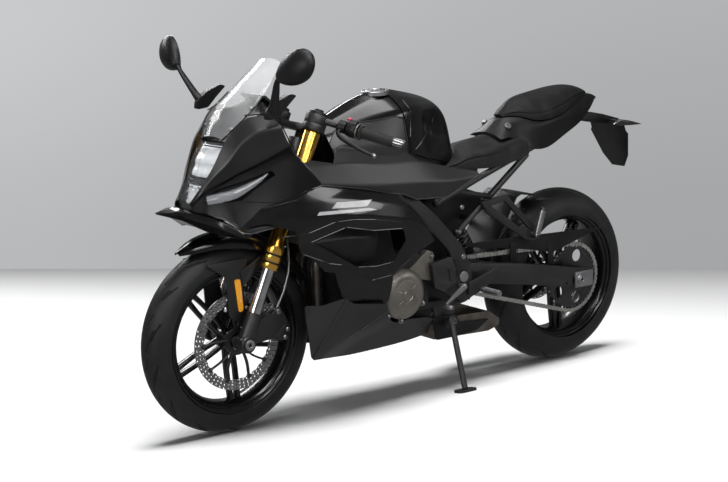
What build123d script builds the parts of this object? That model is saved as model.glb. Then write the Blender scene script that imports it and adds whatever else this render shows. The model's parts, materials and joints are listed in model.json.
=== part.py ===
"""Sport motorcycle, modelled upright in its own frame and then parked on its side stand.

Bike frame, in millimetres: X forward from the rear axle, Y to the rider's left, Z up from the
ground.  Every solid is made there.  At the end one placement leans the whole machine onto its
side stand and moves the origin under the middle of its box, with the ground at Z = 0.
"""
from build123d import *
import os
from math import atan2, cos, degrees, hypot, radians, sin, sqrt, tan

# ---------------------------------------------------------------- driving dimensions
WHEELBASE = 1415
FRONT_RADIUS, FRONT_HALF_WIDTH, FRONT_BEAD = 300, 57, 46
REAR_RADIUS, REAR_HALF_WIDTH, REAR_BEAD = 312, 80, 64
RIM_SEAT = 213                  # radius on which both 17 inch tyres sit
RIM_FLANGE = 230
RAKE = 23.0                     # degrees, fork line from the vertical
FORK_OFFSET = 30                # fork line ahead of the steering axis
FORK_HALF = 100                 # half the distance between the fork tubes
LEAN = 9.0                      # degrees, parked on the side stand
LIFT = REAR_HALF_WIDTH * (1 - cos(radians(LEAN)))
SKIN = 4                        # bodywork thickness
DISC_Y, DISC_RADIUS = 58, 155
CHAIN_Y = 95
SPROCKET_RADIUS, PINION_RADIUS = 118, 38
PINION = (650, 415)
SWINGARM_PIVOT = (578, 406)
STAND_PIVOT = (600, 132, 250)
STAND_FOOT_X, STAND_FOOT_Y = 640, 250

REAR_AXLE = (0, REAR_RADIUS)
FRONT_AXLE = (WHEELBASE, FRONT_RADIUS)


# ---------------------------------------------------------------- helpers
def side_plate(outline, y_from, y_to):
    """Outline of (x, z) points, carried along Y."""
    face = make_face(Polyline(*[(x, y_from, z) for x, z in outline], close=True))
    return extrude(face, amount=y_to - y_from, dir=(0, 1, 0))


def top_plate(outline, z_from, z_to):
    """Outline of (x, y) points, carried along Z."""
    face = make_face(Polyline(*[(x, y, z_from) for x, y in outline], close=True))
    return extrude(face, amount=z_to - z_from, dir=(0, 0, 1))


def rod(start, end, radius):
    """Round bar between two points."""
    axis = Vector(end) - Vector(start)
    return Part() + Solid.make_cylinder(radius, axis.length, Plane(origin=start, z_dir=axis))


def cross_rod(x, z, y_from, y_to, radius):
    """Round bar along Y."""
    return rod((x, y_from, z), (x, y_to, z), radius)


def other_side(solid):
    """The same piece on the rider's right."""
    return mirror(solid, about=Plane.XZ)


def section(x, profile):
    """Closed face at x from the (y, z) points of its left half, listed from top to bottom."""
    left = [(x, y, z) for y, z in profile]
    right = [(x, -y, z) for y, z in reversed(profile) if y > 0]
    return make_face(Polyline(*left, *right, close=True))


def hull(stations):
    """Solid through sections, each given as (x, [(y, z), ...])."""
    return loft([section(x, profile) for x, profile in stations], ruled=True)


def inset(stations, wall, open_top=False, open_bottom=False, overrun=30):
    """The same sections moved in by the wall, run on past both ends."""
    rows = []
    for x, profile in stations:
        row = [(max(y - wall, 0), z) for y, z in profile]
        row[0] = (row[0][0], profile[0][1] + (overrun if open_top else -wall))
        row[-1] = (row[-1][0], profile[-1][1] - (overrun if open_bottom else -wall))
        rows.append((x, row))
    (x_first, first), (x_last, last) = rows[0], rows[-1]
    step = overrun if x_last > x_first else -overrun
    return [(x_first - step, first)] + rows + [(x_last + step, last)]


def along_fork(distance, y, ahead=0):
    """Point on the fork line: distance up from the axle, and ahead of the line, square to it."""
    x = WHEELBASE - distance * sin(radians(RAKE)) + ahead * cos(radians(RAKE))
    z = FRONT_RADIUS + distance * cos(radians(RAKE)) + ahead * sin(radians(RAKE))
    return (x, y, z)


def fork_plane(distance, y=0, ahead=0):
    """Plane square to the fork, local X across the machine's length and local Z up the fork."""
    up = Vector(-sin(radians(RAKE)), 0, cos(radians(RAKE)))
    return Plane(origin=along_fork(distance, y, ahead), x_dir=(cos(radians(RAKE)), 0, sin(radians(RAKE))),
                 z_dir=up)


def steering_point(z):
    """Point of the steering axis at a height."""
    x = WHEELBASE - FORK_OFFSET / cos(radians(RAKE)) - (z - FRONT_RADIUS) * tan(radians(RAKE))
    return (x, 0, z)


def ring(centre, r_in, r_out, y_from, y_to):
    """Flat ring about a wheel axle."""
    x, z = centre
    return cross_rod(x, z, y_from, y_to, r_out) - cross_rod(x, z, y_from - 1, y_to + 1, r_in)


def wheel_profile(centre, points):
    """Turned part: closed (y, r) outline spun about the wheel axle."""
    x, z = centre
    face = make_face(Polyline(*[(x, y, z + r) for y, r in points], close=True))
    return revolve(face, axis=Axis((x, 0, z), (0, 1, 0)))


nodes = {}


# ---------------------------------------------------------------- wheels
def tyre(centre, radius, half_width, bead):
    """Round-crowned tyre: eight flats stand for a tread arc whose radius is the half width."""
    arc_centre = radius - half_width
    crown = [(half_width * cos(radians(22.5 * step)), arc_centre + half_width * sin(radians(22.5 * step)))
             for step in range(9)]
    return wheel_profile(centre, crown + [(-bead, RIM_FLANGE + 1), (-bead, RIM_SEAT), (bead, RIM_SEAT),
                                          (bead, RIM_FLANGE + 1)])


FIRST_SPOKE = 48                # degrees up from the forward direction


def rim(centre, bead, hub_radius, hub_half, bore, spoke_half):
    """Cast wheel: barrel with flanges, hub and five V spokes that close towards the barrel."""
    outside = [(-bead - 5, RIM_FLANGE), (-bead - 5, 205), (-bead + 14, 196)]
    seat = [(bead, RIM_FLANGE), (bead, RIM_SEAT), (-bead, RIM_SEAT), (-bead, RIM_FLANGE)]
    barrel = wheel_profile(centre, outside + [(-y, r) for y, r in reversed(outside)] + seat)
    body = cross_rod(centre[0], centre[1], -hub_half, hub_half, hub_radius)
    x, z = centre
    for turn in range(5):
        for side in (-1, 1):
            base = radians(FIRST_SPOKE + 72 * turn + side * 24)
            tip = radians(FIRST_SPOKE + 72 * turn + side * 3)
            wide_in, wide_out = radians(8.5), radians(2.6)
            arm = [
                (x + (hub_radius - 4) * cos(base - wide_in), z + (hub_radius - 4) * sin(base - wide_in)),
                (x + 200 * cos(tip - wide_out), z + 200 * sin(tip - wide_out)),
                (x + 200 * cos(tip + wide_out), z + 200 * sin(tip + wide_out)),
                (x + (hub_radius - 4) * cos(base + wide_in), z + (hub_radius - 4) * sin(base + wide_in)),
            ]
            body += side_plate(arm, -spoke_half, spoke_half)
    body += barrel
    return body - cross_rod(x, z, -hub_half - 1, hub_half + 1, bore)


AXLE_RADIUS = 10
nodes["front_tyre"] = tyre(FRONT_AXLE, FRONT_RADIUS, FRONT_HALF_WIDTH, FRONT_BEAD)
nodes["front_rim"] = rim(FRONT_AXLE, FRONT_BEAD, 34, 46, AXLE_RADIUS + 0.05, 13)
nodes["rear_tyre"] = tyre(REAR_AXLE, REAR_RADIUS, REAR_HALF_WIDTH, REAR_BEAD)
nodes["rear_rim"] = rim(REAR_AXLE, REAR_BEAD, 44, 70, AXLE_RADIUS + 0.05, 16)


def brake_disc(centre, radius, web, y_from, y_to, hub, bore):
    """Rotor ring on a five-armed carrier."""
    x, z = centre
    rotor = ring(centre, radius - web, radius, y_from, y_to)
    for turn in range(5):
        angle = radians(18 + 72 * turn)
        side = (-sin(angle) * 11, cos(angle) * 11)
        inner, outer = hub - 6, radius - web + 6
        arm = [(x + inner * cos(angle) + side[0], z + inner * sin(angle) + side[1]),
               (x + outer * cos(angle) + side[0], z + outer * sin(angle) + side[1]),
               (x + outer * cos(angle) - side[0], z + outer * sin(angle) - side[1]),
               (x + inner * cos(angle) - side[0], z + inner * sin(angle) - side[1])]
        rotor += side_plate(arm, y_from, y_to)
    return rotor + ring(centre, bore, hub, min(y_from, y_to), max(y_from, y_to))


nodes["front_disc"] = brake_disc(FRONT_AXLE, DISC_RADIUS, 34, DISC_Y - 2.5, DISC_Y + 2.5, 44, 26)
nodes["front_disc"] += ring(FRONT_AXLE, 26, 32, 46, DISC_Y)
nodes["rear_disc"] = brake_disc(REAR_AXLE, 110, 28, -82, -77, 46, 30)
nodes["rear_disc"] += ring(REAR_AXLE, 30, 40, -77, -70)


def toothed_wheel(centre, root, tip, teeth, y_from, y_to, bore):
    """Sprocket with short trapezoid teeth, cut by round windows."""
    x, z = centre
    outline = []
    step = 360 / teeth
    for tooth in range(teeth):
        for share, radius in ((0.0, root), (0.3, root), (0.42, tip), (0.58, tip), (0.7, root)):
            if share == 0.0:
                continue
            angle = radians((tooth + share) * step)
            outline.append((x + radius * cos(angle), z + radius * sin(angle)))
    blank = side_plate(outline, y_from, y_to)
    for window in range(5):
        angle = radians(72 * window + 36)
        blank -= cross_rod(x + 80 * cos(angle), z + 80 * sin(angle), y_from - 1, y_to + 1, 22)
    return blank - cross_rod(x, z, y_from - 1, y_to + 1, bore)


nodes["rear_sprocket"] = toothed_wheel(REAR_AXLE, 110, SPROCKET_RADIUS, 42, CHAIN_Y - 3, CHAIN_Y + 3, 32)
nodes["rear_sprocket"] += ring(REAR_AXLE, 32, 42, 70, CHAIN_Y)

# ---------------------------------------------------------------- chain
def chain_loop():
    """Roller chain as outer and inner links along the tangent loop of the two sprockets."""
    big, small = SPROCKET_RADIUS + 3, PINION_RADIUS + 3
    (x0, z0), (x1, z1) = REAR_AXLE, PINION
    length = hypot(x1 - x0, z1 - z0)
    tilt = atan2(z1 - z0, x1 - x0)
    spread = atan2(sqrt(length ** 2 - (big - small) ** 2), big - small)

    def band(grow):
        """Filled tangent outline of both sprocket circles."""
        points = []
        steps_big, steps_small = 28, 10
        for index in range(steps_big + 1):
            angle = tilt + spread + (2 * (3.141592654 - spread)) * index / steps_big
            points.append((x0 + (big + grow) * cos(angle), z0 + (big + grow) * sin(angle)))
        for index in range(steps_small + 1):
            angle = tilt - spread + 2 * spread * index / steps_small
            points.append((x1 + (small + grow) * cos(angle), z1 + (small + grow) * sin(angle)))
        return points

    return side_plate(band(7), CHAIN_Y - 8, CHAIN_Y + 8) - side_plate(band(-2.5), CHAIN_Y - 9, CHAIN_Y + 9)


nodes["chain"] = chain_loop()

# ---------------------------------------------------------------- swingarm and rear axle
ARM_IN, ARM_OUT = 110, 138
ARM_OUTLINE = [(608, 436), (545, 438), (300, 408), (-56, 340), (-66, 330), (-66, 284), (-50, 276), (60, 292),
               (320, 338), (440, 356), (608, 372)]
arm_left = side_plate(ARM_OUTLINE, ARM_IN, ARM_OUT)
swingarm = arm_left + other_side(arm_left)
bridge = side_plate([(560, 436), (400, 420), (345, 408), (345, 350), (440, 356), (560, 372)], -ARM_OUT,
                    ARM_OUT)
swingarm += bridge - side_plate([(700, 500), (450, 500), (450, 300), (700, 300)], -84, 108)
swingarm -= cross_rod(SWINGARM_PIVOT[0], SWINGARM_PIVOT[1], -200, 200, 12)
SLOT = [(-34, 302), (34, 302), (34, 322), (-34, 322)]
swingarm -= side_plate(SLOT, -200, 200)
SPOOL = (62, 304)
SPOOL_DEPTH = 18
for y0, y1 in ((ARM_OUT - SPOOL_DEPTH, ARM_OUT + 1), (-ARM_OUT - 1, -ARM_OUT + SPOOL_DEPTH)):
    swingarm -= cross_rod(SPOOL[0], SPOOL[1], y0, y1, 4)
nodes["swingarm"] = swingarm

axle = cross_rod(0, REAR_RADIUS, -ARM_OUT - 14, ARM_OUT + 14, AXLE_RADIUS)
for y0, y1 in ((ARM_OUT, ARM_OUT + 8), (-ARM_OUT - 8, -ARM_OUT)):
    axle += side_plate([(-60, 284), (-60, 340), (28, 340), (28, 284)], y0, y1)
    axle += cross_rod(0, REAR_RADIUS, y0, y1 + 5, 17) if y0 > 0 else cross_rod(0, REAR_RADIUS, y0 - 5, y1, 17)
axle += ring(REAR_AXLE, AXLE_RADIUS - 1, 20, 104, ARM_IN) + ring(REAR_AXLE, AXLE_RADIUS - 1, 20, -ARM_IN, -84)
nodes["rear_axle"] = axle - cross_rod(0, REAR_RADIUS, -300, 300, 6)

# ---------------------------------------------------------------- frame
SPAR_OUTLINE = [(1108, 806), (1122, 770), (1112, 742), (1060, 728), (900, 700), (800, 645), (700, 560),
                (640, 500),
                (612, 440), (606, 330), (548, 322), (536, 372), (545, 445), (590, 520), (690, 620),
                (780, 695),
                (880, 742), (1040, 776)]
spar = side_plate(SPAR_OUTLINE, 142, 166)
spar -= side_plate([(1040, 758), (905, 724), (835, 684), (866, 718), (950, 750)], 156, 170)
spar -= cross_rod(SWINGARM_PIVOT[0], SWINGARM_PIVOT[1], 100, 200, 12)
nodes["frame_spars"] = spar + other_side(spar)

head = rod(steering_point(780), steering_point(900), 30) - rod(steering_point(760), steering_point(920), 16)
gusset = top_plate([(1160, 12), (1152, 30), (1108, 60), (1104, 142), (1052, 142), (1062, 40), (1120, 12)],
                   784, 812)
head_tube = head + (gusset - rod(steering_point(760), steering_point(920), 29))
head_tube += other_side(gusset) - rod(steering_point(760), steering_point(920), 29)
nodes["head_tube"] = head_tube

pivot_bolt = cross_rod(SWINGARM_PIVOT[0], SWINGARM_PIVOT[1], -172, 172, 11.95)
pivot_bolt += cross_rod(SWINGARM_PIVOT[0], SWINGARM_PIVOT[1], 166, 172, 18)
pivot_bolt += cross_rod(SWINGARM_PIVOT[0], SWINGARM_PIVOT[1], -172, -166, 18)
nodes["pivot_bolt"] = pivot_bolt


def subframe_side(y):
    """Rear frame: two rails that meet under the pillion seat, with a tie between them."""
    upper = rod((650, y, 655), (455, y, 724), 11) + rod((455, y, 724), (120, y - 30, 820), 11)
    lower = rod((560, y, 545), (225, y - 20, 776), 11)
    tie = rod((560, y, 684), (412, y, 652), 9)
    return upper + lower + tie + Pos(560, y, 545) * Sphere(15) + Pos(650, y, 655) * Sphere(15)


subframe = subframe_side(112)
subframe += other_side(subframe)
for x, z in ((455, 724), (225, 788)):
    subframe += cross_rod(x, z, -100, 100, 9)
SHOCK_TOP, SHOCK_FOOT = (500, 0, 586), (404, 0, 428)
subframe += cross_rod(SHOCK_TOP[0], SHOCK_TOP[2], -104, 104, 10)
subframe += side_plate([(440, 724), (470, 724), (470, 752), (440, 752)], -80, 80)
nodes["rear_subframe"] = subframe

# ---------------------------------------------------------------- engine
ENGINE_TOP = [(1046, 640), (1046, 440), (1024, 310), (640, 310), (640, 470), (740, 500), (850, 520),
              (880, 640)]
ENGINE_SUMP = [(1024, 310), (980, 262), (680, 262), (640, 310)]
engine = side_plate(ENGINE_TOP, -138, 138) + side_plate(ENGINE_SUMP, -104, 104)
engine -= side_plate([(560, 330), (706, 330), (706, 520), (560, 520)], 76, 140)
engine += cross_rod(822, 378, -174, -138, 88)
nodes["engine_block"] = engine

cover = cross_rod(822, 378, 138, 178, 84)
cover = chamfer(cover.edges().filter_by(GeomType.CIRCLE).sort_by(Axis.Y)[-1], 14)
cover += side_plate([(790, 440), (745, 498), (706, 486), (712, 400), (760, 330)], 138, 156)
nodes["generator_cover"] = cover

RADIATOR = [(1100, 548), (1132, 712), (1100, 718), (1068, 554)]
nodes["radiator"] = side_plate(RADIATOR, -150, 150)


# ---------------------------------------------------------------- exhaust
def header(y):
    """One header pipe from the head, down ahead of the crankcase and back under it."""
    path = FilletPolyline((1046, y, 540), (1096, y, 505), (1086, y, 330), (1020, y, 232), (642, y * 0.7, 232),
                          radius=38)
    profile = Plane(origin=(1046, y, 540), z_dir=path % 0) * Circle(18)
    return sweep(profile, path=path)


headers = header(-42) + header(42)
headers -= side_plate([(1000, 500), (1046, 500), (1046, 600), (1000, 600)], -100, 100)
headers += side_plate([(642, 184), (642, 252), (600, 254), (395, 246), (345, 214), (345, 190), (395, 176)],
                      -60, 92)
nodes["exhaust_headers"] = headers


def oval(x, y, z, wide, tall, tilt):
    """Rounded section of the silencer, square to its axis."""
    plane = Plane(origin=(x, y, z), z_dir=(-cos(radians(tilt)), 0, sin(radians(tilt))))
    return plane * RectangleRounded(wide, tall, min(wide, tall) * 0.35)


silencer = loft([oval(380, -170, 232, 60, 60, 24), oval(300, -190, 268, 120, 96, 24),
                 oval(20, -196, 392, 118, 104, 24),
                 oval(-30, -196, 414, 84, 74, 24)], ruled=True)
collector_room = side_plate([(345, 100), (700, 100), (700, 300), (345, 300)], -60, 92)
silencer += rod((450, -60, 205), (372, -168, 236), 22) - collector_room
nodes["silencer"] = silencer

# ---------------------------------------------------------------- tank, seats and tail
TANK = [   # x, then (y, z) of the ridge, crown edge, shoulder, flank, foot
    (1066, [(0, 944), (30, 936), (62, 910), (96, 868), (112, 824)]),
    (1015, [(0, 968), (40, 958), (84, 922), (116, 880), (126, 820)]),
    (950, [(0, 1000), (48, 985), (98, 943), (128, 884), (134, 795)]),
    (880, [(0, 1028), (50, 1002), (104, 958), (134, 880), (136, 784)]),
    (800, [(0, 1038), (52, 1012), (106, 972), (130, 880), (134, 770)]),
    (715, [(0, 1018), (50, 1003), (98, 974), (100, 858), (112, 766)]),
    (640, [(0, 1002), (24, 992), (49, 974), (61, 882), (80, 774)]),
    (567, [(0, 973), (2, 972), (8, 968), (24, 906), (54, 774)]),
    (521, [(0, 923), (1, 922), (3, 920), (6, 914), (38, 784)]),
    (506, [(0, 850), (1, 849), (3, 847), (6, 842), (24, 786)]),
]
KNEE_RECESS = [(1004, 914), (957, 938), (775, 946), (752, 924), (748, 838), (835, 834), (945, 830),
               (1010, 852)]
RECESS_DEPTH = 6
tank = hull(TANK)
recess = side_plate(KNEE_RECESS, 40, 200) - hull(inset(TANK[:7], RECESS_DEPTH))
tank = tank - recess - other_side(recess)
nodes["fuel_tank"] = tank
CAP = (818, 0, 1040)
nodes["fuel_cap"] = rod((CAP[0], 0, CAP[2] - 20), (CAP[0] + 1, 0, CAP[2] + 2), 50) - tank


def skin(stations, wall):
    """Thin panel on the left side through open sections, each (x, [(y, z), ...]), walled inwards."""
    faces = []
    for x, profile in stations:
        outer = [(x, y, z) for y, z in profile]
        inner = [(x, y - wall, z) for y, z in reversed(profile)]
        faces.append(make_face(Polyline(*outer, *inner, close=True)))
    return loft(faces, ruled=True)


COVER = [   # x, then (y, z) down the side cover under the tank
    (1170, [(126, 880), (146, 830), (166, 780), (166, 730)]),
    (1050, [(134, 880), (156, 830), (178, 765), (178, 720)]),
    (900, [(138, 850), (158, 810), (180, 752), (180, 690)]),
    (760, [(128, 840), (150, 800), (178, 745), (178, 680)]),
    (640, [(112, 800), (136, 780), (172, 735), (172, 670)]),
    (460, [(128, 780), (136, 765), (150, 735), (150, 680)]),
]
COVER_OUTLINE = [(1162, 784), (1143, 828), (1086, 868), (1052, 858), (945, 836), (811, 834), (745, 812),
                 (622, 790),
                 (500, 768), (470, 752), (560, 704), (640, 690), (792, 716), (845, 742), (972, 752)]
tank_cover = (skin(COVER, SKIN) & side_plate(COVER_OUTLINE, 60, 250)) - tank - side_plate(SPAR_OUTLINE, 130,
                                                                                          167)
nodes["tank_covers"] = tank_cover + other_side(tank_cover)

TAIL = [   # x, then (y, z) of the top line, edge, crease, foot
    (335, [(0, 856), (30, 852), (60, 846), (80, 836)]),
    (300, [(0, 884), (30, 878), (62, 862), (84, 842)]),
    (276, [(0, 904), (20, 904), (56, 884), (88, 838)]),
    (255, [(0, 905), (34, 905), (60, 885), (92, 828)]),
    (219, [(0, 907), (57, 907), (78, 884), (100, 800)]),
    (190, [(0, 887), (86, 887), (98, 872), (104, 790)]),
    (120, [(0, 889), (98, 889), (104, 878), (94, 788)]),
    (40, [(0, 904), (86, 904), (92, 884), (80, 822)]),
    (-30, [(0, 934), (64, 934), (70, 900), (60, 842)]),
    (-90, [(0, 954), (46, 954), (50, 922), (42, 860)]),
    (-124, [(0, 954), (28, 954), (34, 935), (28, 880)]),
    (-160, [(0, 958), (22, 955), (26, 938), (20, 900)]),
    (-191, [(0, 945), (10, 943), (12, 938), (8, 930)]),
]
tail = hull(TAIL) - subframe
nodes["tail_cowl"] = tail
RIDER_SEAT = [   # x, then (y, z) of the top line, edge, side, foot
    (590, [(0, 764), (44, 763), (60, 759), (62, 750)]),
    (516, [(0, 780), (60, 778), (84, 770), (90, 752)]),
    (503, [(0, 824), (50, 816), (88, 794), (96, 752)]),
    (400, [(0, 836), (60, 826), (112, 800), (124, 748)]),
    (330, [(0, 852), (50, 832), (106, 812), (128, 760)]),
    (265, [(0, 856), (50, 852), (88, 844), (122, 772)]),
    (236, [(0, 836), (80, 834), (112, 828), (116, 780)]),
]
nodes["rider_seat"] = hull(RIDER_SEAT) - tail - subframe - tank
PILLION_SEAT = [   # x, then (y, z) of the top line, edge, side, foot
    (276, [(0, 912), (10, 911), (20, 909), (22, 905)]),
    (255, [(0, 935), (22, 926), (36, 914), (36, 906)]),
    (219, [(0, 966), (30, 948), (58, 920), (60, 908)]),
    (190, [(0, 975), (48, 956), (88, 905), (90, 888)]),
    (120, [(0, 986), (60, 962), (102, 915), (102, 890)]),
    (40, [(0, 996), (62, 978), (92, 935), (90, 905)]),
    (-30, [(0, 1000), (52, 988), (72, 958), (68, 935)]),
    (-90, [(0, 990), (40, 982), (52, 966), (50, 955)]),
    (-124, [(0, 972), (24, 968), (30, 962), (28, 955)]),
]
nodes["pillion_seat"] = hull(PILLION_SEAT)
nodes["rear_lamps"] = hull([(-192, [(0, 944), (9, 942), (11, 938), (7, 931)]),
                            (-199, [(0, 941), (7, 940), (8, 937), (5, 933)])])

ARM_PROFILE = [(-100, 866), (-160, 888), (-226, 875), (-312, 852), (-318, 838), (-240, 840), (-150, 852)]
PLATE_OUTLINE = [(84, 0), (84, 34), (92, 46), (62, 140), (30, 186), (-30, 186), (-62, 140), (-92, 46),
                 (-84, 34), (-84, 0)]
PLATE_TOP, PLATE_LEAN, PLATE_THICK = (-262, 846), 22, 5
plate_plane = Plane(origin=(PLATE_TOP[0], 0, PLATE_TOP[1]), x_dir=(0, 1, 0),
                    z_dir=(-cos(radians(PLATE_LEAN)), 0, sin(radians(PLATE_LEAN))))
plate_face = plate_plane * make_face(Polyline(*PLATE_OUTLINE, close=True))
plate_arm = (side_plate(ARM_PROFILE, -16, 16) - tail) + extrude(plate_face, PLATE_THICK)
for side in (-1, 1):
    plate_arm += rod((-262, side * 14, 850), (-246, side * 72, 853), 6)
nodes["plate_holder"] = plate_arm
INDICATOR = [   # side view: rearward, upward
    (0, -9), (22, -12), (60, -8), (104, 0), (60, 8), (20, 9)]
indicator_plane = Plane(origin=(-222, 72, 854), x_dir=(-0.86, 0.5, -0.1), z_dir=(0.5, 0.86, 0))
indicator = extrude(indicator_plane * make_face(Polyline(*INDICATOR, close=True)), 24)
nodes["rear_indicators"] = indicator + other_side(indicator)

# ---------------------------------------------------------------- front bodywork
NOSE = [   # x, then (y, z) of the lens edge, shoulder, crease, recess, lower edge
    (1560, [(34, 744), (42, 741), (48, 737), (48, 733), (50, 722)]),
    (1525, [(54, 800), (60, 790), (62, 781), (56, 770), (72, 715)]),
    (1500, [(72, 848), (84, 828), (78, 796), (70, 784), (98, 706)]),
    (1466, [(84, 922), (112, 866), (98, 815), (88, 802), (134, 698)]),
    (1430, [(88, 966), (128, 926), (121, 838), (108, 826), (168, 690)]),
    (1390, [(106, 1000), (150, 960), (148, 860), (136, 846), (200, 690)]),
    (1345, [(150, 1003), (180, 970), (178, 888), (164, 872), (222, 740)]),
    (1300, [(170, 1003), (196, 975), (202, 915), (188, 896), (232, 762)]),
    (1180, [(170, 1003), (192, 985), (212, 905), (204, 880), (232, 782)]),
]
NOSE_SIDE = [(1570, 720), (1570, 760), (1536, 800), (1470, 936), (1400, 1012), (1345, 1010), (1335, 1000),
             (1308, 924),
             (1262, 862), (1196, 790), (1239, 785), (1409, 742), (1480, 690)]
LAMP = [   # x, then (y, z) of the middle, bow, edge, foot of the headlight
    (1556, [(0, 748), (16, 745), (32, 738), (32, 722)]),
    (1533, [(0, 796), (24, 790), (45, 766), (48, 720)]),
    (1518, [(0, 836), (36, 828), (58, 798), (60, 718)]),
    (1505, [(0, 870), (40, 862), (64, 835), (66, 716)]),
    (1466, [(0, 924), (54, 922), (78, 920), (78, 716)]),
    (1448, [(0, 924), (54, 922), (76, 918), (76, 716)]),
]
nodes["headlight"] = hull(LAMP)
nose_shell = hull(NOSE) - hull(inset(NOSE, SKIN, open_top=True, open_bottom=True)) - nodes["headlight"]
nose_shell &= side_plate(NOSE_SIDE, -300, 300)
DRL = [(1526, 740), (1494, 777), (1420, 812), (1376, 832), (1368, 824), (1410, 790), (1440, 754)]
lens_cut = side_plate(DRL, 60, 300) + side_plate(DRL, -300, -60)
nodes["nose_panels"] = nose_shell - lens_cut
nodes["running_lights"] = nose_shell & lens_cut

BEAK = [   # x, then (y, z) of the ridge, top edge, lower edge, inner edge of the pointed beak
    (1657, [(0, 724), (2, 723), (3, 720), (2, 718)]),
    (1588, [(0, 734), (52, 724), (54, 712), (34, 696)]),
    (1512, [(0, 716), (104, 700), (108, 676), (78, 652)]),
    (1462, [(0, 700), (176, 664), (180, 646), (140, 640)]),
    (1440, [(0, 700), (186, 660), (188, 650), (160, 646)]),
]
beak = hull(BEAK) - hull([(1546, [(0, 690), (20, 688), (40, 680), (60, 600)]),
                          (1500, [(0, 700), (40, 690), (92, 668), (110, 600)]),
                          (1438, [(0, 690), (80, 680), (176, 650), (180, 600)])])
nodes["beak"] = beak - nodes["headlight"] - nose_shell

GLASS = [   # x, half width, edge height, centre height
    (1452, 52, 930, 936), (1403, 94, 991, 1008), (1331, 94, 1052, 1084), (1233, 62, 1150, 1160)]


def arch(x, half, z_edge, z_mid, thick):
    """Section of the bowed screen at x, as thick as stated along Z."""
    outline = (ThreePointArc((x, -half, z_edge), (x, 0, z_mid), (x, half, z_edge))
               + Line((x, half, z_edge), (x, half, z_edge - thick))
               + ThreePointArc((x, half, z_edge - thick), (x, 0, z_mid - thick), (x, -half, z_edge - thick))
               + Line((x, -half, z_edge - thick), (x, -half, z_edge)))
    return make_face(outline)


nodes["windshield"] = loft([arch(x, half, edge, mid, 5) for x, half, edge, mid in GLASS], ruled=True)

DASH = [   # x, then (y, z) of the instrument hump: middle, edge of the hump, screen mount, foot
    (1440, [(0, 922), (44, 921), (80, 926), (76, 905)]),
    (1400, [(0, 946), (50, 950), (84, 976), (90, 930)]),
    (1345, [(0, 996), (56, 998), (110, 1006), (140, 960)]),
    (1300, [(0, 1036), (54, 1034), (80, 1010), (84, 960)]),
    (1244, [(0, 1020), (50, 1016), (70, 1000), (72, 960)]),
]
nodes["dashboard"] = hull(DASH) - nose_shell - nodes["windshield"] - nodes["headlight"]

# ---------------------------------------------------------------- side fairings and belly pan
SIDE = [   # x, then (y, z) down the left side: top, upper crease, widest, waist, lower crease, bilge, bottom
    (1480, [(196, 720), (198, 706), (196, 690), (196, 560), (194, 500), (190, 300), (186, 230)]),
    (1300, [(222, 790), (232, 740), (238, 690), (208, 600), (200, 500), (192, 300), (186, 230)]),
    (1190, [(214, 790), (232, 740), (240, 690), (212, 610), (206, 500), (190, 300), (182, 230)]),
    (1100, [(206, 775), (228, 730), (238, 680), (214, 600), (206, 500), (186, 300), (140, 206)]),
    (1000, [(196, 760), (222, 715), (236, 665), (214, 590), (202, 505), (172, 300), (112, 192)]),
    (850, [(190, 720), (214, 680), (228, 640), (212, 560), (198, 480), (166, 300), (100, 192)]),
    (700, [(188, 690), (196, 600), (202, 560), (196, 520), (176, 440), (150, 300), (94, 196)]),
    (500, [(186, 690), (190, 600), (190, 560), (186, 520), (160, 440), (110, 300), (80, 230)]),
]
WHEEL_BAY = cross_rod(WHEELBASE, FRONT_RADIUS, -178, 178, FRONT_RADIUS + 16)
SIDE_OUTLINE = [(1192, 784), (1239, 779), (1409, 736), (1478, 682), (1398, 688), (1298, 652), (1254, 530),
                (1138, 500),
                (1126, 440), (1150, 394), (1057, 390), (900, 366), (902, 462), (782, 535), (738, 552),
                (802, 638), (843, 676),
                (877, 718), (1029, 755)]
OPENING = [(1237, 612), (1115, 646), (1005, 622), (882, 614), (863, 573), (908, 505), (977, 500), (1057, 509)]
side_shell = hull(SIDE) - hull(inset(SIDE, SKIN, open_top=True)) - WHEEL_BAY
side_left = (side_shell & side_plate(SIDE_OUTLINE, 60, 300)) - side_plate(OPENING, 60, 300)
nodes["side_fairings"] = side_left + other_side(side_left)
VENT_PANEL = [   # x, then (y, z) down the sculpted panel inside the side opening
    (1228, [(196, 620), (200, 600), (184, 560)]),
    (1086, [(176, 640), (206, 606), (172, 500)]),
    (1000, [(172, 640), (204, 590), (172, 500)]),
    (940, [(158, 640), (172, 590), (164, 500)]),
]
VENT_OUTLINE = [(1224, 604), (1086, 636), (990, 618), (945, 612), (962, 512), (1048, 512), (1171, 566)]
vent_panel = (skin(VENT_PANEL, SKIN) & side_plate(VENT_OUTLINE, 60, 300)) - side_left
nodes["vent_panels"] = vent_panel + other_side(vent_panel)
BELLY_OUTLINE = [(1231, 408), (1137, 382), (1057, 386), (898, 362), (888, 320), (842, 292), (700, 276),
                 (655, 262),
                 (655, 180), (1150, 180), (1218, 236)]
belly = (side_shell & side_plate(BELLY_OUTLINE, -300, 300)) - cross_rod(822, 378, -300, 300, 96)
nodes["belly_pan"] = belly

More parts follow.
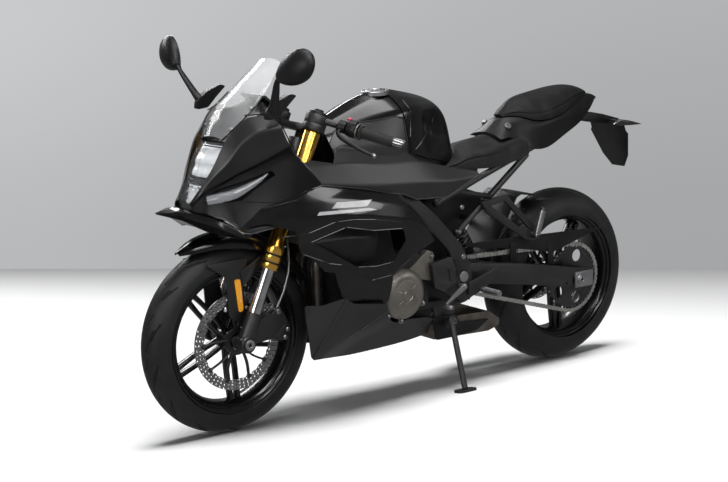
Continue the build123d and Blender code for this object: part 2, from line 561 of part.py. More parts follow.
# ---------------------------------------------------------------- mirrors
MIRROR = [   # x, then (y, z) round the left mirror's head, from its outer end over the top
    (1402, [(378, 1170), (366, 1188), (346, 1190), (322, 1172), (300, 1136), (306, 1124), (340, 1128),
            (368, 1142)]),
    (1376, [(406, 1176), (388, 1206), (352, 1210), (312, 1184), (276, 1116), (282, 1102), (340, 1110),
            (392, 1126)]),
    (1356, [(402, 1176), (386, 1202), (352, 1206), (314, 1182), (280, 1118), (286, 1106), (340, 1114),
            (388, 1130)]),
]
head = loft([make_face(Polyline(*[(x, y, z) for y, z in rim_points], close=True)) for x,
             rim_points in MIRROR], ruled=True)
mirror_left = head + rod((1360, 196, 1022), (1392, 268, 1120), 10) + rod((1392, 268, 1120),
                                                                         (1382, 300, 1132), 10)
mirror_left += side_plate([(1386, 996), (1346, 1000), (1316, 1026), (1286, 1050), (1296, 1062), (1346, 1044),
                           (1380, 1024)],
                          182, 204)
mirror_left -= nose_shell
nodes["mirrors"] = mirror_left + other_side(mirror_left)

# ---------------------------------------------------------------- fork and bars
TUBE_LOW, TUBE_TOP = 240, 748
tubes = Part()
legs = Part()
for side in (-1, 1):
    y = side * FORK_HALF
    tubes += rod(along_fork(TUBE_LOW, y), along_fork(TUBE_TOP, y), 26)
    for start in (TUBE_LOW, TUBE_LOW + 26, TUBE_LOW + 54):
        tubes += rod(along_fork(start, y), along_fork(start + 18, y), 29)
    tubes -= rod(along_fork(TUBE_LOW - 1, y), along_fork(TUBE_LOW + 60, y), 20.7)
    legs += rod(along_fork(0, y), along_fork(TUBE_LOW + 50, y), 20.5)
    foot = rod(along_fork(-8, y), along_fork(96, y), 25)
    legs += foot + cross_rod(WHEELBASE, FRONT_RADIUS, y - 25, y + 25, 27)
lug = side_plate([(1400, 330), (1330, 380), (1270, 372), (1262, 340), (1300, 300), (1392, 290)], 82, 100)
legs += lug
legs -= cross_rod(WHEELBASE, FRONT_RADIUS, -200, 200, AXLE_RADIUS + 2)
nodes["fork_tubes"] = tubes
nodes["fork_legs"] = legs
front_axle = cross_rod(WHEELBASE, FRONT_RADIUS, -132, 132, AXLE_RADIUS)
for y0, y1 in ((46.5, 75), (-75, -46.5)):
    front_axle += ring(FRONT_AXLE, AXLE_RADIUS - 1, 15, y0, y1)
for y0, y1 in ((75, 125), (-125, -75)):
    front_axle += ring(FRONT_AXLE, AXLE_RADIUS - 1, AXLE_RADIUS + 2, y0, y1)
front_axle += cross_rod(WHEELBASE, FRONT_RADIUS, 125, 132, 17)
front_axle += cross_rod(WHEELBASE, FRONT_RADIUS, -132, -125, 17)
nodes["front_axle"] = front_axle - cross_rod(WHEELBASE, FRONT_RADIUS, -300, 300, 7)


def clamp(distance, thick, depth):
    """Bridge that holds both fork tubes and the steering stem."""
    edge = [(-30 - depth, 24), (-28, 70), (-22, FORK_HALF), (22, FORK_HALF), (14, 60), (-6, 24)]
    outline = edge + [(x, -y) for x, y in reversed(edge)]
    plate = extrude(fork_plane(distance) * make_face(Polyline(*outline, close=True)), thick)
    for side in (-1, 1):
        plate += extrude(fork_plane(distance) * (Pos(0, side * FORK_HALF) * Circle(36)), thick)
        plate -= rod(along_fork(distance - 5, side * FORK_HALF),
                     along_fork(distance + thick + 5, side * FORK_HALF), 26)
    return plate


stem_low, stem_high = along_fork(512, 0, -FORK_OFFSET), along_fork(700, 0, -FORK_OFFSET)
nodes["fork_clamps"] = clamp(500, 34, 18) + clamp(690, 22, 18) + rod(stem_low, stem_high, 15.9)

BAR_START = along_fork(730, FORK_HALF)
BAR_END = (986, 372, 900)
bar_axis = (Vector(BAR_END) - Vector(BAR_START)).normalized()


def on_bar(distance, shift=(0, 0, 0)):
    """Point of the left handlebar, measured from the fork tube's axis."""
    point = Vector(BAR_START) + bar_axis * distance + Vector(shift)
    return (point.X, point.Y, point.Z)


GRIP_FROM, GRIP_TO, BAR_LENGTH = 152, 262, 306
bar = rod(on_bar(20), on_bar(GRIP_TO), 11) + rod(on_bar(GRIP_TO), on_bar(BAR_LENGTH), 16)
bar -= rod(along_fork(700, FORK_HALF), along_fork(760, FORK_HALF), 34)
bar += rod(along_fork(713, FORK_HALF), along_fork(741, FORK_HALF), 36)
bar -= rod(along_fork(700, FORK_HALF), along_fork(760, FORK_HALF), 26)
nodes["handlebars"] = bar + other_side(bar)
grip = rod(on_bar(GRIP_FROM), on_bar(GRIP_TO), 17) - rod(on_bar(GRIP_FROM - 10), on_bar(GRIP_TO + 10), 11)
grip += rod(on_bar(GRIP_FROM), on_bar(GRIP_FROM + 6), 24) - rod(on_bar(GRIP_FROM - 10), on_bar(GRIP_TO), 11)
nodes["grips"] = grip + other_side(grip)
LEVER = [   # distance along the bar, shift from its axis
    (96, (26, 0, -12)), (124, (42, 0, -22)), (190, (62, 0, -30)), (252, (66, 0, -38))]
lever = rod(on_bar(82), on_bar(108), 19) + rod(on_bar(96, (8, 0, -4)), on_bar(*LEVER[0]), 9)
for start, stop in zip(LEVER, LEVER[1:]):
    lever += rod(on_bar(*start), on_bar(*stop), 6) + Pos(*on_bar(*start)) * Sphere(6)
lever += Pos(*on_bar(*LEVER[-1])) * Sphere(9)
switch = rod(on_bar(110), on_bar(GRIP_FROM - 1), 23)
switch += rod(on_bar(118, (0, 0, 10)), on_bar(146, (0, 0, 10)), 20)
controls = (lever + switch) - rod(on_bar(60), on_bar(200), 11)
nodes["bar_controls"] = controls + other_side(controls)

# ---------------------------------------------------------------- front mudguard and caliper
FENDER = [   # degrees from the forward direction, half width, crown radius, drop of the side
    (59, 10, 335, 5), (66, 36, 335, 18), (76, 54, 336, 30), (92, 62, 336, 44), (116, 64, 334, 50),
    (148, 62, 328, 46)]


def fender_section(angle, half, radius, drop):
    """Arched band square to the wheel's rim, as thick as the bodywork."""
    plane = Plane(origin=(FRONT_AXLE[0], 0, FRONT_AXLE[1]), x_dir=(0, 1, 0),
                  z_dir=(-sin(radians(angle)), 0, cos(radians(angle))))
    outer = [(half, radius - drop), (half, radius - 0.3 * drop), (0.6 * half, radius - 0.06 * drop),
             (0, radius)]
    inner = [(max(y - SKIN, 0), r - (SKIN if index else 0)) for index, (y, r) in enumerate(outer)]
    left = outer + [(-y, r) for y, r in reversed(outer) if y]
    right = [(-y, r) for y, r in inner if y] + [(y, r) for y, r in reversed(inner)]
    return plane * make_face(Polyline(*[(y, -r) for y, r in left + right], close=True))


fender = loft([fender_section(*row) for row in FENDER], ruled=True)
guard = side_plate([(1530, 556), (1457, 506), (1448, 384), (1402, 350), (1376, 372), (1398, 480),
                    (1376, 560)], 62, 67)
guard += side_plate([(1396, 470), (1408, 520), (1330, 560), (1318, 540)], 62, 74)
fender += guard + other_side(guard)
nodes["front_fender"] = fender - tubes - legs
reflector = side_plate([(1429, 498), (1408, 498), (1397, 398), (1414, 392)], 67, 72)
nodes["reflectors"] = reflector + other_side(reflector)

CALIPER = [(1318, 372), (1282, 400), (1240, 330), (1246, 286), (1290, 288)]
caliper = side_plate(CALIPER, DISC_Y + 5, 100) + side_plate(CALIPER, 49, DISC_Y - 5)
caliper += side_plate([(1282, 400), (1240, 330), (1246, 286), (1252, 300), (1248, 330), (1288, 392)], 49, 100)
nodes["front_caliper"] = caliper - lug
REAR_CALIPER = [(44, 366), (60, 420), (112, 416), (134, 372), (112, 352), (70, 350)]
rear_caliper = side_plate(REAR_CALIPER, -ARM_IN, -85) + side_plate(REAR_CALIPER, -76, -72)
nodes["rear_caliper"] = rear_caliper + (side_plate(REAR_CALIPER, -ARM_IN, -72)
                                        - cross_rod(0, REAR_RADIUS, -200, 0, 116))

# ---------------------------------------------------------------- rear mudguard and chain guard
HUGGER_TOP = [(392, 419), (378, 446), (318, 540), (262, 632), (243, 641), (165, 628), (120, 618)]
hugger_shell = HUGGER_TOP + [(x - 3, z - 5) for x, z in reversed(HUGGER_TOP[1:])] + [(380, 417)]
hugger = side_plate(hugger_shell, -84, 84)
GUARD = [(518, 500), (266, 494), (-138, 480), (60, 430), (107, 418), (318, 462), (416, 470), (506, 488)]
guard = side_plate(GUARD, 106, 110)
for x in (300, 120):
    foot = 408 - (300 - x) * 68 / 356
    guard += side_plate([(x - 14, foot - 2.7), (x + 14, foot + 2.7), (x + 14, foot + 70),
                         (x - 14, foot + 70)], 110, 114)
nodes["rear_hugger"] = hugger + guard

SHOCK_AXIS = Vector(SHOCK_TOP) - Vector(SHOCK_FOOT)


def on_shock(share):
    """Point along the shock absorber, from its foot at 0 to its top at 1."""
    point = Vector(SHOCK_FOOT) + SHOCK_AXIS * share
    return (point.X, point.Y, point.Z)


shock = rod(SHOCK_FOOT, SHOCK_TOP, 9)
shock += rod(on_shock(0.06), on_shock(0.2), 24) + rod(on_shock(0.5), on_shock(0.9), 22)
for turn in range(7):
    share = 0.2 + 0.1 * turn
    shock += rod(on_shock(share), on_shock(share + 0.045), 31)
shock += cross_rod(SHOCK_TOP[0], SHOCK_TOP[2], -18, 18, 18)
nodes["shock"] = shock - cross_rod(SHOCK_TOP[0], SHOCK_TOP[2], -30, 30, 10) - swingarm

# ---------------------------------------------------------------- rider and pillion rests
rest = side_plate([(558, 384), (500, 398), (430, 420), (424, 400), (480, 356), (535, 336), (560, 340)], 166,
                  174)
rest += cross_rod(500, 352, 166, 262, 11)
nodes["footrests"] = rest + other_side(rest)
pedal = side_plate([(692, 320), (676, 324), (582, 372), (590, 388), (604, 382)], 184, 192)
pedal += cross_rod(592, 378, 166, 192, 8) + cross_rod(684, 326, 184, 232, 8)
nodes["foot_controls"] = pedal + other_side(pedal)

HANGER = [(466, 640), (352, 652), (188, 505), (216, 478), (256, 486), (440, 600)]
hanger = side_plate(HANGER, 118, 130) - subframe
hanger -= side_plate([(420, 622), (358, 632), (240, 522), (262, 514)], 100, 140)
hanger += cross_rod(226, 500, 130, 152, 12) + rod((226, 146, 488), (200, 156, 596), 10)
nodes["passenger_rests"] = hanger + other_side(hanger)

# ---------------------------------------------------------------- side stand
FLOOR_TILT = radians(LEAN)
floor_up = (0, -sin(FLOOR_TILT), cos(FLOOR_TILT))
foot_z = (STAND_FOOT_Y * sin(FLOOR_TILT) - LIFT) / cos(FLOOR_TILT)
stand_foot = (STAND_FOOT_X, STAND_FOOT_Y, foot_z)
leg_end = (STAND_FOOT_X, STAND_FOOT_Y - 2, foot_z + 8)
stand = rod(STAND_PIVOT, leg_end, 10)
stand += extrude(Plane(origin=stand_foot, x_dir=(1, 0, 0), z_dir=floor_up) * RectangleRounded(76, 46, 16), 8)
leg_direction = (Vector(leg_end) - Vector(STAND_PIVOT)).normalized()
stand_axis = Vector(1, 0, 0).cross(leg_direction * -1).normalized() * -1
knuckle = Solid.make_cylinder(17, 22, Plane(origin=Vector(STAND_PIVOT) - stand_axis * 11, z_dir=stand_axis))
stand += knuckle
stand -= Solid.make_cylinder(7.05, 60, Plane(origin=Vector(STAND_PIVOT) - stand_axis * 30, z_dir=stand_axis))
nodes["side_stand"] = stand
pin_plane = Plane(origin=Vector(STAND_PIVOT) - stand_axis * 25, z_dir=stand_axis)
bracket = Part() + Solid.make_cylinder(7, 36, pin_plane)
bracket += Solid.make_cylinder(17, 14, pin_plane.offset(-0.5))
bracket += side_plate([(570, 268), (650, 268), (664, 300), (660, 330), (606, 330), (570, 322)], 98,
                      111) - engine
nodes["stand_bracket"] = bracket

# ---------------------------------------------------------------- parked placement and export
lean = Pos(0, 0, LIFT) * Rot(-LEAN, 0, 0)
leaned = {name: lean * shape for name, shape in nodes.items()}
boxes = [shape.bounding_box() for shape in leaned.values()]
low = [min(getattr(box.min, axis) for box in boxes) for axis in "XYZ"]
high = [max(getattr(box.max, axis) for box in boxes) for axis in "XYZ"]
SHIFT = (-(low[0] + high[0]) / 2, -(low[1] + high[1]) / 2, -low[2])
park = Pos(*SHIFT) * lean

if __name__ == "__main__":
    os.makedirs("parts", exist_ok=True)
    for name, shape in nodes.items():
        export_step(park * shape, f"parts/{name}.step")
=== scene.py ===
"""Looks of a parked sport motorcycle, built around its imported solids.

Shapes are worked out in the upright bike frame: millimetres, X forward from the rear axle, Y to the
rider's left, Z up from the ground.  BikeFrame carries them to the parked place, in metres.
"""
from __future__ import annotations

import json
import logging
from dataclasses import dataclass
from enum import Enum
from math import atan2, cos, hypot, pi, radians, sin
from typing import Callable, Iterable, Sequence

import bmesh
import bpy
import numpy as np
from mathutils import Matrix, Vector

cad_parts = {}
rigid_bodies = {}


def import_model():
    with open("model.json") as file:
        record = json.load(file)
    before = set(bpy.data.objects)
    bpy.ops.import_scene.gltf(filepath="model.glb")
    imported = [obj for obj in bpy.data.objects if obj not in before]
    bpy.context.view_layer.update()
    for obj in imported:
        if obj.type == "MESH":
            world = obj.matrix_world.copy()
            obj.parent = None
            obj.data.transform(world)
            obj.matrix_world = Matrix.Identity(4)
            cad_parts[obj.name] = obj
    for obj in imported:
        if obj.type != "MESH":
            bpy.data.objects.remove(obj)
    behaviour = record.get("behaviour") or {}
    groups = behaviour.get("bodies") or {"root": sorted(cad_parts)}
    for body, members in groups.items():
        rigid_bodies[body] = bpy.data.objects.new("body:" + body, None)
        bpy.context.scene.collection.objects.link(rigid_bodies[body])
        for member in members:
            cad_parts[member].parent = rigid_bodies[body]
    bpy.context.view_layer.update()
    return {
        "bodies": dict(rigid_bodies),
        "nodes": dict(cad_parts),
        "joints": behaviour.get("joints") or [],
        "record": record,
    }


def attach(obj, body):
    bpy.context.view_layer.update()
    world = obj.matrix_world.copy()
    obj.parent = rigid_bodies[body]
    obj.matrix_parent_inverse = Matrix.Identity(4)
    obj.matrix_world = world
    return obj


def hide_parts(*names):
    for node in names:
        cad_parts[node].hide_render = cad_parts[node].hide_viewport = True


LOG = logging.getLogger("sport_bike")

# ---------------------------------------------------------------- driving dimensions, millimetres
WHEELBASE = 1415.0
FRONT_RADIUS, REAR_RADIUS = 300.0, 312.0
RAKE = radians(23.0)
FORK_HALF = 100.0
FRONT_AXLE = (WHEELBASE, FRONT_RADIUS)
REAR_AXLE = (0.0, REAR_RADIUS)
LEFT, RIGHT = 1.0, -1.0
RIM_SEAT, RIM_FLANGE = 213.0, 230.0
Pair = tuple[float, float]
Triple = tuple[float, float, float]
Profile = Sequence[Pair]
Stations = Sequence[tuple[float, Profile]]
Mesh = tuple[np.ndarray, list]


# ---------------------------------------------------------------- place of the parked machine
@dataclass(frozen=True)
class BikeFrame:
    """Place of the upright bike frame in the parked scene, found from the two axle bores."""

    origin: np.ndarray
    axes: np.ndarray

    @classmethod
    def from_record(cls, record: dict) -> BikeFrame:
        """Find the frame.

        Args:
            record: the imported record, whose mounts give both axle centres.
        Returns:
            The frame: its rows are forward, left and up, and its origin lies on the ground.
        """
        bores = {mount["name"]: mount for mount in record["mounts"]}
        rear = np.array(bores["rear_axle_bore"]["pos_m"])
        front = np.array(bores["front_axle_bore"]["pos_m"])
        left = np.array(bores["rear_axle_bore"]["axis"])
        left = left / np.linalg.norm(left)
        run = front - rear
        run = run / np.linalg.norm(run)
        over = np.cross(run, left)
        rise = atan2(FRONT_RADIUS - REAR_RADIUS, WHEELBASE)
        forward = cos(rise) * run - sin(rise) * over
        up = sin(rise) * run + cos(rise) * over
        return cls(rear - up * REAR_RADIUS / 1000, np.array([forward, left, up]))

    def place(self, points: np.ndarray) -> np.ndarray:
        """Carry (n, 3) bike-frame millimetres to parked metres."""
        return self.origin + (np.asarray(points, float) / 1000) @ self.axes


# ---------------------------------------------------------------- shader expressions
class Sheet:
    """Node tree of one material, with a single method that adds nodes."""

    def __init__(self, name: str) -> None:
        """Start an empty tree with a principled shader and an output."""
        self.material = bpy.data.materials.new(name)
        self.material.use_nodes = True
        self.tree = self.material.node_tree
        self.tree.nodes.clear()
        self.output = self.tree.nodes.new("ShaderNodeOutputMaterial")
        self.shader = self.tree.nodes.new("ShaderNodeBsdfPrincipled")
        self.tree.links.new(self.shader.outputs[0], self.output.inputs["Surface"])

    def node(self, kind: str, settings: dict | None = None, out: int | str = 0, **sockets: object) -> Value:
        """Add a node.

        Args:
            kind: the node's type.
            settings: attributes that are set before its sockets.
            out: the output that is handed back.
            sockets: values or Value objects by input name, spaces as underscores, or s0, s1 by place.
        Returns:
            The chosen output as a Value.
        """
        made = self.tree.nodes.new(kind)
        for key, value in (settings or {}).items():
            setattr(made, key, value)
        self.join(made, sockets)
        return Value(self, made.outputs[out])

    def join(self, node: bpy.types.Node, sockets: dict) -> None:
        """Set or link a node's sockets, named as the node method says."""
        for key, value in sockets.items():
            socket = node.inputs[int(key[1:]) if key[1:].isdigit() else key.replace("_", " ")]
            if isinstance(value, Value):
                self.tree.links.new(value.socket, socket)
            else:
                socket.default_value = value

    def math(self, operation: str, *terms: Value | float) -> Value:
        """Math node over up to three terms."""
        return self.node("ShaderNodeMath", {"operation": operation},
                         **{f"s{i}": t for i, t in enumerate(terms)})

    def place(self) -> Value:
        """Object coordinates, in metres."""
        return self.node("ShaderNodeTexCoord", out="Object")

    def noise(self, scale: float, detail: float = 3.0, rough: float = 0.55,
              stretch: Sequence[float] = (1, 1, 1)) -> Value:
        """Noise from 0 to 1 on object coordinates, a scale being features per metre."""
        spot = self.node("ShaderNodeMapping", s0=self.place(), Scale=stretch)
        return self.node("ShaderNodeTexNoise", Vector=spot, Scale=scale, Detail=detail, Roughness=rough)

    def cells(self, scale: float) -> Value:
        """Distance to the nearest cell centre, for pebbled grain."""
        return self.node("ShaderNodeTexVoronoi", Vector=self.place(), Scale=scale)

    def mix(self, share: Value | float, first: tuple, second: tuple) -> Value:
        """Colour between two RGB triples."""
        return self.node("ShaderNodeMix", {"data_type": "RGBA"}, out=2, s0=share,
                         s6=(*first, 1.0), s7=(*second, 1.0))

    def bump(self, height: Value, strength: float, depth: float) -> None:
        """Feed a height to the shader's normal, depth in metres."""
        bump = self.node("ShaderNodeBump", Strength=strength, Distance=depth, Height=height)
        self.tree.links.new(bump.socket, self.shader.inputs["Normal"])

    def feed(self, **sockets: object) -> None:
        """Set or link the shader's sockets."""
        self.join(self.shader, sockets)


class Value:
    """A socket that takes part in arithmetic: each operator adds its Math node."""

    def __init__(self, sheet: Sheet, socket: bpy.types.NodeSocket) -> None:
        """Wrap a socket of the sheet's tree."""
        self.sheet = sheet
        self.socket = socket

    def __add__(self, other: Value | float) -> Value:
        """Sum."""
        return self.sheet.math("ADD", self, other)

    def __sub__(self, other: Value | float) -> Value:
        """Difference."""
        return self.sheet.math("SUBTRACT", self, other)

    def __rsub__(self, other: Value | float) -> Value:
        """Reflected difference."""
        return self.sheet.math("SUBTRACT", other, self)

    def __mul__(self, other: Value | float) -> Value:
        """Product."""
        return self.sheet.math("MULTIPLY", self, other)

    __radd__ = __add__
    __rmul__ = __mul__

    def ramp(self, low: float, high: float) -> Value:
        """Smooth step from 0 at low to 1 at high."""
        return self.sheet.node("ShaderNodeMapRange", {"interpolation_type": "SMOOTHSTEP"}, Value=self,
                               From_Min=low, From_Max=high)


# ---------------------------------------------------------------- finishes
REFLECTION_VEIL_HEIGHTS = (1.0, 1.1)       # metres above the ground between which a screen grows pale with a painted reflection


@dataclass(frozen=True)
class Paint:
    """Sprayed and lacquered bodywork: faint mottling, orange peel and fine dust in the lacquer."""

    colour: tuple
    rough: float
    coat: float
    peel: float = 0.00002
    shine: float = 0.3

    def build(self, name: str) -> bpy.types.Material:
        """Make the material by its name."""
        sheet = Sheet(name)
        cloud = sheet.noise(9.0, 4.0)
        fine = sheet.noise(900.0, 2.0)
        dark = tuple(c * 0.85 for c in self.colour)
        light = tuple(c * 1.2 + 0.001 for c in self.colour)
        sheet.feed(Base_Color=sheet.mix(cloud.ramp(0.35, 0.65), dark, light),
                   Roughness=cloud * 0.04 + fine * 0.03 + (self.rough - 0.035),
                   Coat_Weight=self.coat, Coat_Roughness=0.03, Specular_IOR_Level=self.shine)
        sheet.bump(sheet.noise(380.0, 1.0), 0.35, self.peel)
        return sheet.material


@dataclass(frozen=True)
class Moulding:
    """Moulded plastic or rubber with a spark-eroded grain."""

    colour: tuple
    rough: float
    grain: float = 1400.0
    depth: float = 0.00012

    def build(self, name: str) -> bpy.types.Material:
        """Make the material by its name."""
        sheet = Sheet(name)
        cloud = sheet.noise(14.0, 4.0)
        grain = sheet.cells(self.grain)
        light = tuple(c * 1.35 + 0.002 for c in self.colour)
        sheet.feed(Base_Color=sheet.mix(cloud.ramp(0.3, 0.7), self.colour, light),
                   Roughness=cloud * 0.08 + grain * 0.05 + (self.rough - 0.06), Specular_IOR_Level=0.25)
        sheet.bump(grain, 0.5, self.depth)
        return sheet.material


@dataclass(frozen=True)
class Metal:
    """Worked metal: brushed or cast, with stains and slight wear."""

    colour: tuple
    rough: float
    metallic: float = 1.0
    grain: float = 260.0
    stretch: tuple = (1.0, 1.0, 1.0)
    depth: float = 0.00004
    stain: tuple | None = None

    def build(self, name: str) -> bpy.types.Material:
        """Make the material by its name."""
        sheet = Sheet(name)
        cloud = sheet.noise(18.0, 5.0)
        brush = sheet.noise(self.grain, 4.0, 0.6, self.stretch)
        dull = self.stain or tuple(c * 0.72 for c in self.colour)
        sheet.feed(Base_Color=sheet.mix(cloud.ramp(0.3, 0.72), dull, self.colour), Metallic=self.metallic,
                   Roughness=cloud * 0.1 + brush * 0.12 + (self.rough - 0.11))
        sheet.bump(brush, 0.4, self.depth)
        return sheet.material


@dataclass(frozen=True)
class Vinyl:
    """Seat cover: pebbled vinyl with soft scuffs in patches set by noise."""

    colour: tuple

    def build(self, name: str) -> bpy.types.Material:
        """Make the material by its name."""
        sheet = Sheet(name)
        scuff = sheet.noise(22.0, 5.0).ramp(0.42, 0.75)
        pebble = sheet.cells(900.0)
        worn = tuple(c * 1.6 + 0.004 for c in self.colour)
        sheet.feed(Base_Color=sheet.mix(scuff, self.colour, worn),
                   Roughness=scuff * 0.08 + pebble * 0.1 + 0.46,
                   Specular_IOR_Level=0.12)
        sheet.bump(pebble * 0.8 + sheet.noise(420.0) * 0.5, 0.65, 0.00025)
        return sheet.material


@dataclass(frozen=True)
class Clear:
    """See-through moulding: a screen or a lens, paled higher up by a painted reflection that sets in between
    the two heights given at the head of the finishes.
    """

    colour: tuple
    alpha: float
    veil: float = 0.0
    rough: float = 0.04

    def build(self, name: str) -> bpy.types.Material:
        """Make the material by its name."""
        sheet = Sheet(name)
        haze = sheet.noise(30.0, 3.0)
        height = sheet.node("ShaderNodeSeparateXYZ", out="Z", Vector=sheet.place())
        sheet.feed(Base_Color=(*self.colour, 1.0),
                   # painted reflection: the screen grows paler with height
                   Alpha=haze * 0.08 + height.ramp(*REFLECTION_VEIL_HEIGHTS) * self.veil + (self.alpha - 0.04),
                   Roughness=haze * 0.03 + self.rough, Coat_Weight=0.6, Coat_Roughness=0.02)
        sheet.bump(sheet.noise(60.0, 1.0), 0.1, 0.0001)
        return sheet.material


@dataclass(frozen=True)
class Lens:
    """Coloured lamp or reflector lens with prisms moulded inside; a glow on a reflector, which is no lamp, is
    painted light.
    """

    colour: tuple
    glow: float = 0.0
    prisms: float = 320.0

    def build(self, name: str) -> bpy.types.Material:
        """Make the material by its name."""
        sheet = Sheet(name)
        prism = sheet.cells(self.prisms)
        deep = tuple(c * 0.7 for c in self.colour)
        sheet.feed(Base_Color=sheet.mix(prism.ramp(0.1, 0.7), self.colour, deep),
                   Roughness=prism * 0.06 + 0.08,
                   Coat_Weight=0.7, Coat_Roughness=0.03, Emission_Color=(*self.colour, 1.0),
                   Emission_Strength=self.glow)
        sheet.bump(prism, 0.4, 0.0004)
        return sheet.material


class Slot(Enum):
    """Record slots, each with its finish."""

    gloss_black = Paint((0.0035, 0.0035, 0.004), 0.2, 0.3)
    satin_black = Paint((0.009, 0.009, 0.0095), 0.42, 0.0, 0.00003, 0.6)
    black_plastic = Moulding((0.006, 0.006, 0.0065), 0.42)
    tyre_rubber = Moulding((0.013, 0.013, 0.0135), 0.5, 700.0, 0.0002)
    rim_black = Paint((0.005, 0.005, 0.0055), 0.25, 0.3)
    disc_steel = Metal((0.30, 0.30, 0.305), 0.38, 0.9, 700.0)
    gold_anodised = Metal((0.86, 0.52, 0.11), 0.24, 1.0, 500.0, (0.2, 0.2, 3.0), 0.00001,
                          stain=(0.78, 0.43, 0.07))
    polished_tube = Metal((0.62, 0.62, 0.63), 0.16, 1.0, 300.0, depth=0.00001)
    bare_aluminium = Metal((0.42, 0.42, 0.43), 0.34, 1.0, 420.0)
    engine_bronze = Metal((0.235, 0.220, 0.195), 0.42, 0.7, 900.0, depth=0.00006)
    engine_black = Metal((0.016, 0.016, 0.0165), 0.5, 0.4, 700.0, depth=0.00015)
    chain_steel = Metal((0.5, 0.49, 0.47), 0.32, 0.85, 600.0)
    exhaust_steel = Metal((0.20, 0.185, 0.165), 0.36, 0.9, 160.0, stain=(0.12, 0.095, 0.08))
    silencer_black = Metal((0.03, 0.03, 0.031), 0.45, 0.4, 700.0)
    seat_vinyl = Vinyl((0.012, 0.012, 0.0125))
    # pale tint over the whole screen, thicker higher up: painted reflection
    screen_clear = Clear((0.90, 0.91, 0.92), 0.12, 0.5)
    lamp_clear = Clear((0.85, 0.88, 0.92), 0.05)
    lamp_red = Lens((0.42, 0.012, 0.01))
    # this reflector lens glows though it is no lamp: painted light
    amber_lens = Lens((0.95, 0.40, 0.02), 0.25)
    indicator_smoke = Lens((0.02, 0.018, 0.016))
    grip_rubber = Moulding((0.018, 0.018, 0.018), 0.66, 900.0, 0.0002)
    radiator_black = Metal((0.03, 0.03, 0.03), 0.55, 0.5, 500.0, (0.1, 0.1, 8.0), 0.0006)
    hose_black = Moulding((0.017, 0.017, 0.017), 0.5, 900.0)


class Trim(Enum):
    """Finishes of small details that have no record slot of their own."""

    silver_stripe = Paint((0.55, 0.55, 0.56), 0.3, 0.5)
    cowl_black = Paint((0.006, 0.006, 0.0065), 0.36, 0.05, 0.00003, 0.5)
    # darker, duller copy of the nose paint for the lower nose: painted shade
    cheek_black = Paint((0.003, 0.003, 0.0035), 0.32, 0.0, 0.00003, 0.2)
    lamp_white = Lens((0.76, 0.78, 0.80), 0.3, 500.0)
    lamp_pearl = Lens((0.34, 0.35, 0.37), 0.05, 420.0)
    lamp_chrome = Metal((0.83, 0.84, 0.86), 0.09, 1.0, 300.0)
    dial_glass = Paint((0.02, 0.024, 0.028), 0.06, 1.0)
    red_button = Moulding((0.62, 0.05, 0.11), 0.4)
    mirror_glass = Metal((0.72, 0.74, 0.76), 0.05)


FINISHES: dict[str, bpy.types.Material] = {}


def finish(kind: Slot | Trim) -> bpy.types.Material:
    """The finish's material, made once."""
    if kind.name not in FINISHES:
        FINISHES[kind.name] = kind.value.build(kind.name)
    return FINISHES[kind.name]


# ---------------------------------------------------------------- mesh workshop
def grid_faces(rows: int, columns: int, wrap_rows: bool = False, wrap_columns: bool = False) -> np.ndarray:
    """Quads of a grid of rows x columns vertices.

    Args:
        rows, columns: size of the grid.
        wrap_rows, wrap_columns: join the last line back to the first.
    Returns:
        (n, 4) vertex numbers.
    """
    last_row = rows if wrap_rows else rows - 1
    last_column = columns if wrap_columns else columns - 1
    row, column = np.meshgrid(np.arange(last_row), np.arange(last_column), indexing="ij")
    row, column = row.ravel(), column.ravel()
    row_next, column_next = (row + 1) % rows, (column + 1) % columns
    return np.stack([row * columns + column, row * columns + column_next,
                     row_next * columns + column_next, row_next * columns + column], axis=1)


def mirrored(points: np.ndarray) -> np.ndarray:
    """The same points on the rider's right."""
    return points * np.array([1.0, -1.0, 1.0])


def both(*meshes: Mesh) -> Mesh:
    """The meshes and their mirror images as one."""
    return joined(*meshes, *[(mirrored(points), faces) for points, faces in meshes])


def blurred(values: np.ndarray, width: float, axis: int) -> np.ndarray:
    """Gaussian smoothing along an axis, with odd reflection so that both ends stay in place.

    Args:
        values, axis: the array and the axis that is smoothed.
        width: standard deviation in steps.
    Returns:
        An array of the same shape.
    """
    reach = int(3 * width + 1)
    if width <= 0 or values.shape[axis] <= reach + 1:
        return values
    moved = np.moveaxis(values, axis, 0)
    head = 2 * moved[0] - moved[reach:0:-1]
    tail = 2 * moved[-1] - moved[-2:-reach - 2:-1]
    padded = np.concatenate([head, moved, tail])
    steps = np.arange(-reach, reach + 1)
    kernel = np.exp(-0.5 * (steps / width) ** 2)
    kernel /= kernel.sum()
    total = sum(weight * padded[i:i + len(moved)] for i, weight in enumerate(kernel))
    return np.moveaxis(total, 0, axis)


def smoothstep(value: np.ndarray, low: float, high: float) -> np.ndarray:
    """0 below low, 1 above high, and 3t^2 - 2t^3 between."""
    share = np.clip((value - low) / (high - low), 0, 1)
    return share * share * (3 - 2 * share)


def stationed(stations: Stations, along: int, across: int, flow: float, crease: float) -> np.ndarray:
    """Grid through sections: ruled between neighbours, then blurred so that creases keep a small radius.

    Args:
        stations: (x, [(y, z), ...]) rows, each with the same number of points.
        along, across: grid steps per span along X, and per span down a section.
        flow, crease: blur widths along X and down the section, in grid steps.
    Returns:
        (rows, columns, 3) points in millimetres.
    """
    table = np.array([[(x, y, z) for y, z in profile] for x, profile in stations], float)
    for axis, steps in ((0, along), (1, across)):
        count = table.shape[axis]
        fine = np.linspace(0, count - 1, (count - 1) * steps + 1)
        low = np.minimum(fine.astype(int), count - 2)
        share = (fine - low)[:, None, None] if axis == 0 else (fine - low)[None, :, None]
        table = np.take(table, low, axis) * (1 - share) + np.take(table, low + 1, axis) * share
    return blurred(blurred(table, flow, 0), crease, 1)


